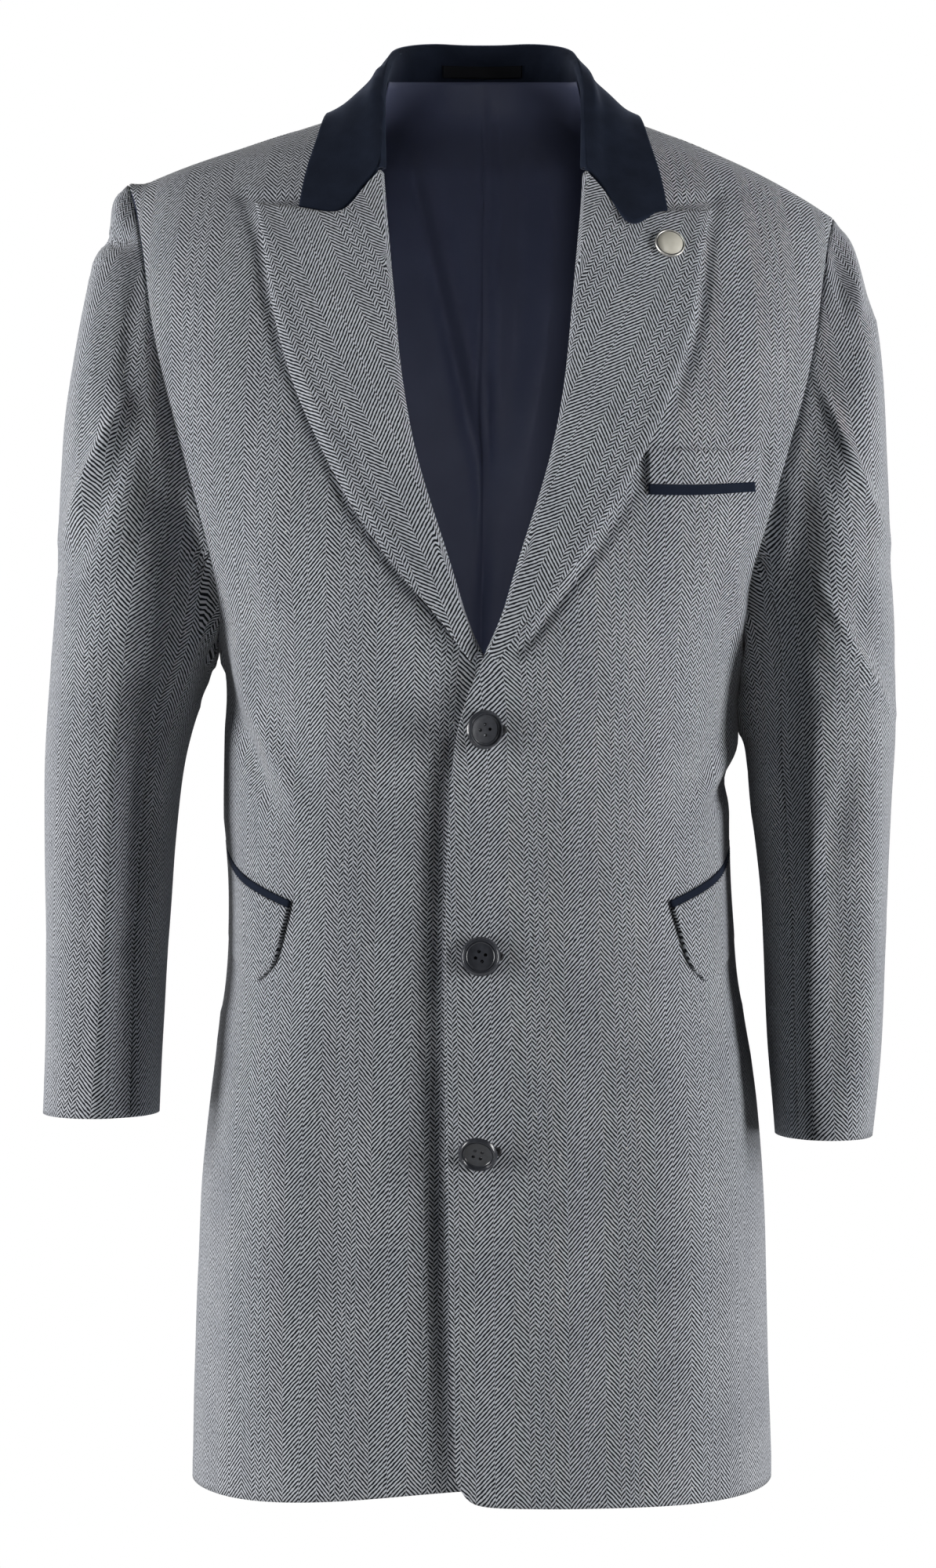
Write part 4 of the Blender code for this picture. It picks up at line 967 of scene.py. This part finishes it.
# %% [markdown]
# ## Lapels and collar
#
# The lapels are the facings of the fronts, turned back over the chest, so their warp lies along the
# slanting outer edge. The collar is one strip of velvet with a fold: it stands up round the neck and
# falls over itself.

# %% Lapels
LAPEL_LEAN = (0.37, 0.0, 0.93)
# The padded edge of each lapel stands off the front.
LAPEL_FOLDS = [
    (
        [(322, 240), (344, 300), (355, 370), (378, 455), (422, 560), (457, 632), (530, 728), (585, 785)],
        11,
        3.2,
    ),
    (
        [(896, 244), (890, 300), (885, 350), (880, 400), (845, 512), (820, 568), (724, 724), (652, 815)],
        11,
        3.2,
    ),
]
for side, turn in (("left", 1), ("right", -1)):
    node = f"lapel_{side}"
    piece = add_piece(f"{node}_cloth", one_sheet(node, TWEED_WALL), tweed)
    cut_on_grain(piece, warp=(turn * LAPEL_LEAN[0], 0.0, LAPEL_LEAN[2]))
    missed = smooth_through(piece, PANEL_LEVELS)
    crease(piece, front=LAPEL_FOLDS)
    cloth[node] = piece
    print(node, len(piece.data.vertices), "points, off by", round(missed, 2), "mm")

# %% Collar and its hanger loop
VELVET_WALL = 2.4
LOOP_WALL = 1.2
STRIP_LEVELS = 4
collar = add_piece("collar_velvet", one_sheet("collar", VELVET_WALL), velvet)
lay_flat(collar)
missed = smooth_through(collar, PANEL_LEVELS)
# The end on the wearer's left comes down to a point.
POINT_AT = (808, 272)
POINT_REACH = 26
POINT_DROP, POINT_OUT = 7 * MM, 9.5 * MM
FACING_FRONT = (0.2, -0.2)
places = points_of(collar.data)
in_front = smooth_step(normals_of(collar.data)[:, 1], *FACING_FRONT)
near_point = np.exp(-((np.linalg.norm(in_photo(places) - POINT_AT, axis=1) / POINT_REACH) ** 2))
places[:, 1] -= POINT_OUT * near_point * in_front
places[:, 2] -= POINT_DROP * near_point * in_front
move_points(collar.data, places)
# Laid flat it is a horseshoe, so its cut is given as the straight strip with the same area and edge.
bm = bmesh.new()
bm.from_mesh(collar.data)
half_edge = sum(edge.calc_length() for edge in bm.edges if edge.is_boundary) / 2
strip_area = sum(face.calc_area() for face in bm.faces)
bm.free()
strip_width = (half_edge - math.sqrt(half_edge**2 - 4 * strip_area)) / 2
collar["cut_size"] = [strip_width, half_edge - strip_width]
cloth["collar"] = collar
loop = add_piece("hanger_loop_satin", one_sheet("hanger_loop", LOOP_WALL), ribbon)
lay_flat(loop)
smooth_through(loop, STRIP_LEVELS)
cloth["hanger_loop"] = loop
print("collar", len(collar.data.vertices), "points, off by", round(missed, 2), "mm")

# %% [markdown]
# ## The lining
#
# The back lining shows through the neck opening. It is sewn to the collar's stand along a level line
# and has a pleat down the middle for ease, so it falls in long loose folds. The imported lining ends
# below the stand, so its neck edge is carried up here: rays from the middle of the neck find the stand,
# and the edge stops just short.

# %% Back lining
LINING_WALL = 1.0
LINING_LEVELS = 3
LINING_FOLDS = [
    ([(508, 150), (523, 217), (560, 370), (588, 489), (612, 600), (618, 720)], 10, -4.2),
    ([(536, 170), (580, 370), (610, 500), (625, 640)], 15, 3.6),
    ([(616, 130), (613, 300), (610, 490), (612, 760)], 6, -2.4),
    ([(628, 112), (625, 300), (622, 500), (620, 760)], 7, 1.8),
    ([(712, 150), (700, 420), (655, 660)], 22, -2.8),
    ([(668, 150), (662, 400), (636, 640)], 16, 1.8),
]
lining = add_piece("lining_back_satin", one_sheet("lining_back", LINING_WALL, outside=False), satin)
missed = smooth_through(lining, LINING_LEVELS)
print("lining off by", round(missed, 2), "mm, with", len(LINING_FOLDS), "folds to come")

# %% Helpers: places round the neck
NECK_MIDDLE = Vector((0.0, 20 * MM, 0.0))
STAND_LEVEL = 33 * MM
OFF_THE_STAND = 1.4 * MM
# A ray that goes further than this has passed under the stand.
WIDEST_STAND = 75 * MM
collar_tree = surface_tree(collar.data)


def turn_of(place):
    """The angle of a place round the neck, from the middle of the back."""
    return math.atan2(place.x, place.y - NECK_MIDDLE.y)


def reach_at(turn, height):
    """How far from the middle of the neck there is room inside the stand, at an angle and a height."""
    outwards = Vector((math.sin(turn), math.cos(turn), 0))
    hit, normal, index, distance = collar_tree.ray_cast(NECK_MIDDLE + Vector((0, 0, height)), outwards)
    return min(distance, WIDEST_STAND) - OFF_THE_STAND if hit else WIDEST_STAND


def pulled_in(place, reach, share=1.0):
    """A place brought in towards the middle of the neck, if it lies further out than a reach."""
    out = (place - NECK_MIDDLE).xy
    over = max(out.length - reach, 0.0) * share
    return place - (out.normalized() * over).to_3d()


print("room inside the stand at the back, in mm:", round(reach_at(0.0, STAND_LEVEL) / MM, 1))

# %% Ease the top of the lining in behind the stand
EASE_LOW, EASE_HIGH = -26 * MM, 15 * MM
bm = bmesh.new()
bm.from_mesh(lining.data)
top = [vertex for vertex in bm.verts if vertex.co.z > EASE_LOW]
for vertex in top:
    share = float(smooth_step(vertex.co.z, EASE_LOW, EASE_HIGH))
    vertex.co = pulled_in(vertex.co, reach_at(turn_of(vertex.co), STAND_LEVEL), share)
print("points eased in:", len(top))

# %% The lining's neck edge, up to the level line on the collar's stand
LINE_ROW = 105
NECK_EDGE_LOW = -16 * MM
NECK_EDGE_HALF = 84 * MM
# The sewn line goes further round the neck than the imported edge.
FURTHER_ROUND = 1.25
CLIMB = (0.17, 0.33, 0.5, 0.67, 0.83, 1.0)
# The room inside the stand and the height of the line depend on each other, so they are found in turns.
TURNS = 3
neck_edges = [
    edge
    for edge in bm.edges
    if edge.is_boundary
    and min(vertex.co.z for vertex in edge.verts) > NECK_EDGE_LOW
    and max(abs(vertex.co.x) for vertex in edge.verts) < NECK_EDGE_HALF
]
climbs = {}
for vertex in dict.fromkeys(vertex for edge in neck_edges for vertex in edge.verts):
    turn = turn_of(vertex.co) * FURTHER_ROUND
    height = STAND_LEVEL
    for again in range(TURNS):
        reach = reach_at(turn, height)
        goal = NECK_MIDDLE + Vector((math.sin(turn) * reach, math.cos(turn) * reach, height))
        height = camera_z + (PHOTO_HEIGHT / 2 - LINE_ROW) * PIXEL * (1 + goal.y / CAMERA_DISTANCE)
    climbs[vertex] = [vertex]
    for share in CLIMB:
        place = vertex.co.lerp(goal, share)
        climbs[vertex].append(bm.verts.new(pulled_in(place, reach_at(turn_of(place), place.z))))
for edge in neck_edges:
    corner = edge.link_loops[0]
    here, there = climbs[corner.vert], climbs[corner.link_loop_next.vert]
    for step in range(len(CLIMB)):
        bm.faces.new((there[step], here[step], here[step + 1], there[step + 1]))
bm.to_mesh(lining.data)
print("neck edge of the lining:", len(neck_edges), "edges carried up to row", LINE_ROW)
bm.free()

# %% The lining's cut and folds
lining.data.shade_smooth()
lay_flat(lining)
crease(lining, front=LINING_FOLDS)
cloth["lining_back"] = lining
print("lining", len(lining.data.vertices), "points")

# %% [markdown]
# ## Pockets
#
# The breast welt and the hip flaps are cut so that the pattern runs through from the front under them.
# They take their flat cut from the nearest place of that front. The velvet strips edge the pocket
# mouths.

# %% Welt, flaps and velvet strips
TRIM_WALL = 1.6
POCKETS = {
    "chest_welt": (TWEED_WALL, tweed, "front_left"),
    "hip_flap_left": (TWEED_WALL, tweed, "front_left"),
    "hip_flap_right": (TWEED_WALL, tweed, "front_right"),
    "chest_trim": (TRIM_WALL, velvet, "front_left"),
    "hip_trim_left": (TRIM_WALL, velvet, "front_left"),
    "hip_trim_right": (TRIM_WALL, velvet, "front_right"),
}
# The end of the breast pocket by the arm slants in towards its foot, and its velvet strip sags a little.
CHEST_FROM, CHEST_TO = 826, 972
CHEST_TOP, CHEST_FOOT = 576, 618
END_IN, END_UP, SAG = 5.5 * MM, 1.4 * MM, 1.6 * MM


def set_chest_pocket(piece):
    """Slants the outer end of a breast-pocket piece, and lets its lower side sag."""
    places = points_of(piece.data)
    across, down = in_photo(places).T
    share = np.clip((across - CHEST_FROM) / (CHEST_TO - CHEST_FROM), 0, 1)
    low = np.clip((down - CHEST_TOP) / (CHEST_FOOT - CHEST_TOP), 0, 1)
    places[:, 0] -= END_IN * share**2 * low
    places[:, 2] += (END_UP * share**2 - SAG * np.sin(np.pi * share)) * low
    move_points(piece.data, places)


PRESSED, PRESSED_END = 0.9, 20 * MM


def settle(piece, under):
    """Lays a piece on the cloth under it, a strip at its usual height, with the outer end pressed down."""
    tree = surface_tree(under.data)
    places = points_of(piece.data)
    found = [tree.find_nearest(Vector(place)) for place in places]
    heights = np.array([distance for where, normal, index, distance in found])
    height = float(np.median(heights))
    if piece.data.materials[0] is velvet:
        heights[:] = height
    out = np.abs(places[:, 0])
    heights *= 1 - PRESSED * smooth_step(out, out.max() - PRESSED_END, out.max())
    laid = [where + normal * up for (where, normal, index, distance), up in zip(found, heights)]
    move_points(piece.data, np.array(laid))
    print(piece.name, "lies", round(height / MM, 2), "mm up")


for node, (wall, material, under) in POCKETS.items():
    piece = add_piece(f"{node}_cloth", one_sheet(node, wall), material)
    if material is tweed:
        share_cut(piece, cages[under])
    else:
        lay_flat(piece)
    smooth_through(piece, PANEL_LEVELS)
    if node.startswith("chest"):
        set_chest_pocket(piece)
    crease(piece, front=FRONT_FOLDS)
    if node != "chest_welt":
        settle(piece, cloth[under])
    cloth[node] = piece
    print(node, len(piece.data.vertices), "points on", under)

# %% [markdown]
# ## Thickness, and what each sheet is
#
# Solidify gives each sheet its cloth's thickness inwards, so its face stays where it is. Behind the
# shell's tweed is the satin lining, so the inner side takes the second material. Each sheet already
# carries the size it was cut to.

# %% Helper: thickness and place in the coat
LINED = tuple(PANELS)


def finish_cloth(node, wall):
    """Gives a sheet its thickness and its place in the coat, and hides its node."""
    piece = cloth[node]
    thick = piece.modifiers.new("thickness", "SOLIDIFY")
    thick.thickness = wall * MM
    thick.offset = -1
    if node in LINED:
        piece.data.materials.append(satin)
        thick.material_offset = 1
    sew_on(piece, node)


print("panels with satin behind them:", len(LINED))

# %% Finish all cloth
for node in PANELS:
    panel, side = node.rsplit("_", 1)
    finish_cloth(node, TWEED_WALL)
for node in ("lapel_left", "lapel_right"):
    finish_cloth(node, TWEED_WALL)
finish_cloth("collar", VELVET_WALL)
finish_cloth("hanger_loop", LOOP_WALL)
finish_cloth("lining_back", LINING_WALL)
for node, (wall, material, under) in POCKETS.items():
    finish_cloth(node, wall)
print("cloth pieces:", len(cloth))

# %% [markdown]
# ## Buttons
#
# Each button was moulded or turned as a disc with a raised, rounded rim, a dished middle and four
# holes. A profile spun about the axis gives the disc, and four small rods cut the holes. The packed
# button gives its place and its tilt: its thinnest direction is the axis.

# %% Helper: the place and tilt of a round node
def round_place(node, turn=0.0):
    """A matrix that puts a piece made round Z at a round node, facing the front."""
    places = points_of(nodes[node].data)
    middle = (places.min(axis=0) + places.max(axis=0)) / 2
    axis = np.linalg.svd(places - places.mean(axis=0), full_matrices=False)[2][2]
    facing = Vector(axis if axis[1] < 0 else -axis)
    reach = (places - middle) @ np.array(facing)
    back = Vector(middle) + facing * float(reach.min())
    tilt = facing.to_track_quat("Z", "Y").to_matrix().to_4x4()
    return Matrix.Translation(back) @ tilt @ Matrix.Rotation(turn, 4, "Z")


def spun(profile, segments=64):
    """A closed turned shape from a profile of (radius, height) in mm, from the axis back to the axis."""
    bm = bmesh.new()
    line = [bm.verts.new((radius * MM, 0.0, height * MM)) for radius, height in profile]
    edges = [bm.edges.new(pair) for pair in zip(line, line[1:])]
    bmesh.ops.spin(
        bm, geom=line + edges, axis=(0, 0, 1), cent=(0, 0, 0), angle=math.tau, steps=segments, use_merge=True
    )
    bmesh.ops.remove_doubles(bm, verts=bm.verts, dist=WELD)
    bmesh.ops.recalc_face_normals(bm, faces=bm.faces)
    return bm


print("round helpers ready")

# %% Buttons with four holes
HOLES = 4
HOLE_OUT = 3.3
HOLE_RADIUS = 1.1
DRILL_LENGTH = 8.0
DRILL_HEIGHT = 2.0
SHARPEST_SMOOTH = math.radians(40)
# From the back up the sloping side, over the narrow raised rim and into the dish.
button_profile = [
    (0.0, 0.0), (8.6, 0.0), (10.6, 0.6), (12.1, 1.5), (12.5, 2.2), (12.2, 2.9), (11.7, 3.5), (11.3, 4.2),
    (10.8, 4.4), (10.3, 4.2), (10.0, 3.6), (9.6, 3.1), (9.2, 3.4), (8.8, 3.3), (8.4, 2.8), (6.0, 2.6),
    (0.0, 2.5),
]
# How far the four holes are turned from upright, in degrees.
BUTTONS = {"button_1": 5, "button_2": 17, "button_3": 27}
for node, turn in BUTTONS.items():
    piece = add_piece(f"{node}_disc", spun(button_profile), plastic)
    rods = bmesh.new()
    for hole in range(HOLES):
        angle = math.tau * hole / HOLES
        spot = Vector((HOLE_OUT * math.cos(angle), HOLE_OUT * math.sin(angle), DRILL_HEIGHT)) * MM
        bmesh.ops.create_cone(
            rods, cap_ends=True, segments=20, radius1=HOLE_RADIUS * MM, radius2=HOLE_RADIUS * MM,
            depth=DRILL_LENGTH * MM, matrix=Matrix.Translation(spot),
        )
    drill = add_piece(f"{node}_drill", rods, plastic)
    cutter = piece.modifiers.new("holes", "BOOLEAN")
    cutter.object = drill
    cutter.operation = "DIFFERENCE"
    bpy.context.view_layer.update()
    shown = piece.evaluated_get(bpy.context.evaluated_depsgraph_get())
    drilled = bpy.data.meshes.new_from_object(shown)
    piece.modifiers.clear()
    piece.data = drilled
    bpy.data.objects.remove(drill)
    drilled.transform(round_place(node, math.radians(turn)))
    drilled.shade_smooth()
    drilled.set_sharp_from_angle(angle=SHARPEST_SMOOTH)
    sew_on(piece, node)
    print(node, len(drilled.polygons), "faces")

# %% [markdown]
# ## Thread: shanks and buttonholes
#
# A coat button stands off the cloth on a wound stalk of thread, and its buttonhole is edged with close
# black stitches that fan out round the end. Each stitch is a short bent rod laid on the cloth: a ray
# from the front finds the cloth below it.

# %% Helper: rods of thread along points
ROD_SIDES = 6


def add_rod(bm, path, radius):
    """A round rod of thread through some points, with closed ends."""
    rings = []
    for index, place in enumerate(path):
        ahead = path[min(index + 1, len(path) - 1)] - path[max(index - 1, 0)]
        frame = ahead.to_track_quat("Z", "Y").to_matrix()
        turns = [math.tau * side / ROD_SIDES for side in range(ROD_SIDES)]
        round_it = [frame @ Vector((math.cos(turn), math.sin(turn), 0)) * radius for turn in turns]
        rings.append([bm.verts.new(place + out) for out in round_it])
    for low, high in zip(rings, rings[1:]):
        for side in range(ROD_SIDES):
            other = (side + 1) % ROD_SIDES
            bm.faces.new((low[side], low[other], high[other], high[side]))
    bm.faces.new(rings[0][::-1])
    bm.faces.new(rings[-1])


front_tree = surface_tree(cloth["front_left"].data)


def on_front(x, z, height):
    """The point on the left front at x and z, raised a little off the cloth."""
    hit, normal, index, distance = front_tree.ray_cast(Vector((x, -1.0, z)), Vector((0, 1, 0)))
    return hit + Vector((0, -height, 0))


print("rods of thread have", ROD_SIDES, "sides")

# %% Buttonholes and shanks
STITCH_RADIUS = 0.36 * MM
STITCH_STEP = 0.62 * MM
STITCH_FROM, STITCH_TO = 0.3 * MM, 2.9 * MM
STITCH_CROWN = 0.35 * MM
STITCH_LEAN = 0.12
SLIT_FROM, SLIT_TO = -9.0 * MM, 11.8 * MM
FAN_STITCHES = 11
FAN_HALF = 75
SHANK_TURNS = 7
SHANK_RADIUS = 2.0 * MM
SHANK_SIDES = 10
SHANK_THREAD = 0.5 * MM
for node in BUTTONS:
    seat = round_place(node).translation
    stitches = bmesh.new()
    places = []
    for index in range(int((SLIT_TO - SLIT_FROM) / STITCH_STEP)):
        along = seat.x + SLIT_FROM + index * STITCH_STEP
        places += [((along, seat.z), (STITCH_LEAN, up)) for up in (1.0, -1.0)]
    for index in range(FAN_STITCHES):
        angle = math.radians(FAN_HALF * (2 * index / (FAN_STITCHES - 1) - 1))
        places.append(((seat.x + SLIT_TO, seat.z), (math.cos(angle), math.sin(angle))))
    for (x, z), (right, up) in places:
        bend = [(STITCH_FROM, 0.0), ((STITCH_FROM + STITCH_TO) / 2, STITCH_CROWN), (STITCH_TO, 0.0)]
        path = [on_front(x + right * out, z + up * out, height) for out, height in bend]
        add_rod(stitches, path, STITCH_RADIUS)
    foot = on_front(seat.x, seat.z, 0.0)
    for index in range(SHANK_TURNS):
        middle = foot.lerp(seat, (index + 0.5) / SHANK_TURNS)
        turns = [math.tau * side / SHANK_SIDES for side in range(SHANK_SIDES + 1)]
        ring = [middle + Vector((math.cos(turn), 0, math.sin(turn))) * SHANK_RADIUS for turn in turns]
        add_rod(stitches, ring, SHANK_THREAD)
    piece = add_piece(f"{node}_thread", stitches, thread)
    piece.data.shade_smooth()
    sew_on(piece)
    print(node, "thread:", len(piece.data.polygons), "faces")

# %% [markdown]
# ## The lapel pin
#
# A small round pin with a plain face: a rounded plated rim, a thin dark line and a flat cream enamel.

# %% Lapel pin
pin_profile = [
    (0.0, 0.0), (9.2, 0.0), (9.8, 0.5), (10.0, 1.3), (9.95, 1.9), (9.7, 2.4), (9.3, 2.6), (8.95, 2.4),
    (8.9, 2.1), (8.4, 2.05), (8.3, 2.2), (0.0, 2.4),
]
FACE_LOW, FACE_OUT, LINE_OUT = 1.9, 8.3, 8.9
pin = add_piece("lapel_pin_disc", spun(pin_profile), nickel)
for material in (dark_line, cream):
    pin.data.materials.append(material)
for face in pin.data.polygons:
    out = math.hypot(face.center.x, face.center.y) / MM
    if face.center.z / MM > FACE_LOW and out < LINE_OUT:
        face.material_index = 1 if out > FACE_OUT else 2
pin.data.shade_smooth()
pin.data.transform(round_place("lapel_pin"))
sew_on(pin, "lapel_pin")
print("pin", len(pin.data.polygons), "faces")

# %% [markdown]
# ## The stage
#
# The coat is lit like a catalogue picture: white paper behind it and a tall soft light far out on each
# side, so that the sides that face each other, as sleeve and body do, fall into shade. A small light
# from the front, kept narrow, reaches into the neck. Two more light the back. The pale floor lies well
# below the hem and out of the picture's frame, where it throws little light back up between the sleeves
# and the body.

# %% Floor
FLOOR_Z = -1.8
FLOOR_SIZE = 1.3
bm = bmesh.new()
bmesh.ops.create_circle(bm, cap_ends=True, segments=96, radius=FLOOR_SIZE)
floor = add_piece("floor", bm, paper)
floor.data.transform(Matrix.Translation((0, 0, FLOOR_Z)))
print("floor at", FLOOR_Z, "m")

# %% White behind the coat
# It shows as pure white, and the room gives much less light than that.
ROOM_LIGHT = 0.014
world = bpy.data.worlds.new("white studio")
world.use_nodes = True
background = world.node_tree.nodes["Background"]
background.inputs["Color"].default_value = (1, 1, 1, 1)
seen = world.node_tree.nodes.new("ShaderNodeLightPath")
strength = world.node_tree.nodes.new("ShaderNodeMapRange")
strength.inputs["To Min"].default_value = ROOM_LIGHT
strength.inputs["To Max"].default_value = 1.0
world.node_tree.links.new(seen.outputs["Is Camera Ray"], strength.inputs["Value"])
world.node_tree.links.new(strength.outputs["Result"], background.inputs["Strength"])
bpy.context.scene.world = world
bpy.context.scene.view_settings.view_transform = "Standard"
print("room light:", ROOM_LIGHT)

# %% Lights
WIDE = math.pi
NARROW = 0.34
COAT_MIDDLE = Vector((0, 0, -0.4))
CHEST = Vector((0, 0, -0.1))
# Where each light stands, its width and height, its power, how wide it spreads and what it is aimed at.
LIGHTS = {
    "left side": ((-2.8, -0.95, -0.45), (0.6, 2.0), 74, WIDE, COAT_MIDDLE),
    "right side": ((2.75, -1.1, -0.45), (0.6, 2.0), 68, WIDE, COAT_MIDDLE),
    "chest": ((0.1, -2.6, 0.6), (0.4, 0.4), 0.15, NARROW, CHEST),
    "back left": ((-2.0, 2.2, 0.5), (1.3, 2.2), 46, WIDE, COAT_MIDDLE),
    "back right": ((2.0, 2.2, 0.5), (1.3, 2.2), 46, WIDE, COAT_MIDDLE),
}
for name, (place, size, power, spread, aimed_at) in LIGHTS.items():
    lamp = bpy.data.lights.new(name, "AREA")
    lamp.shape = "RECTANGLE"
    lamp.size, lamp.size_y = size
    lamp.energy = power
    lamp.spread = spread
    light = bpy.data.objects.new(name, lamp)
    light.location = place
    aim = aimed_at - Vector(place)
    light.rotation_euler = aim.to_track_quat("-Z", "Y").to_euler()
    bpy.context.scene.collection.objects.link(light)
print("lights:", len(LIGHTS))

# %% Clearing away the cages, and the end
for cage in cages.values():
    bpy.data.objects.remove(cage)
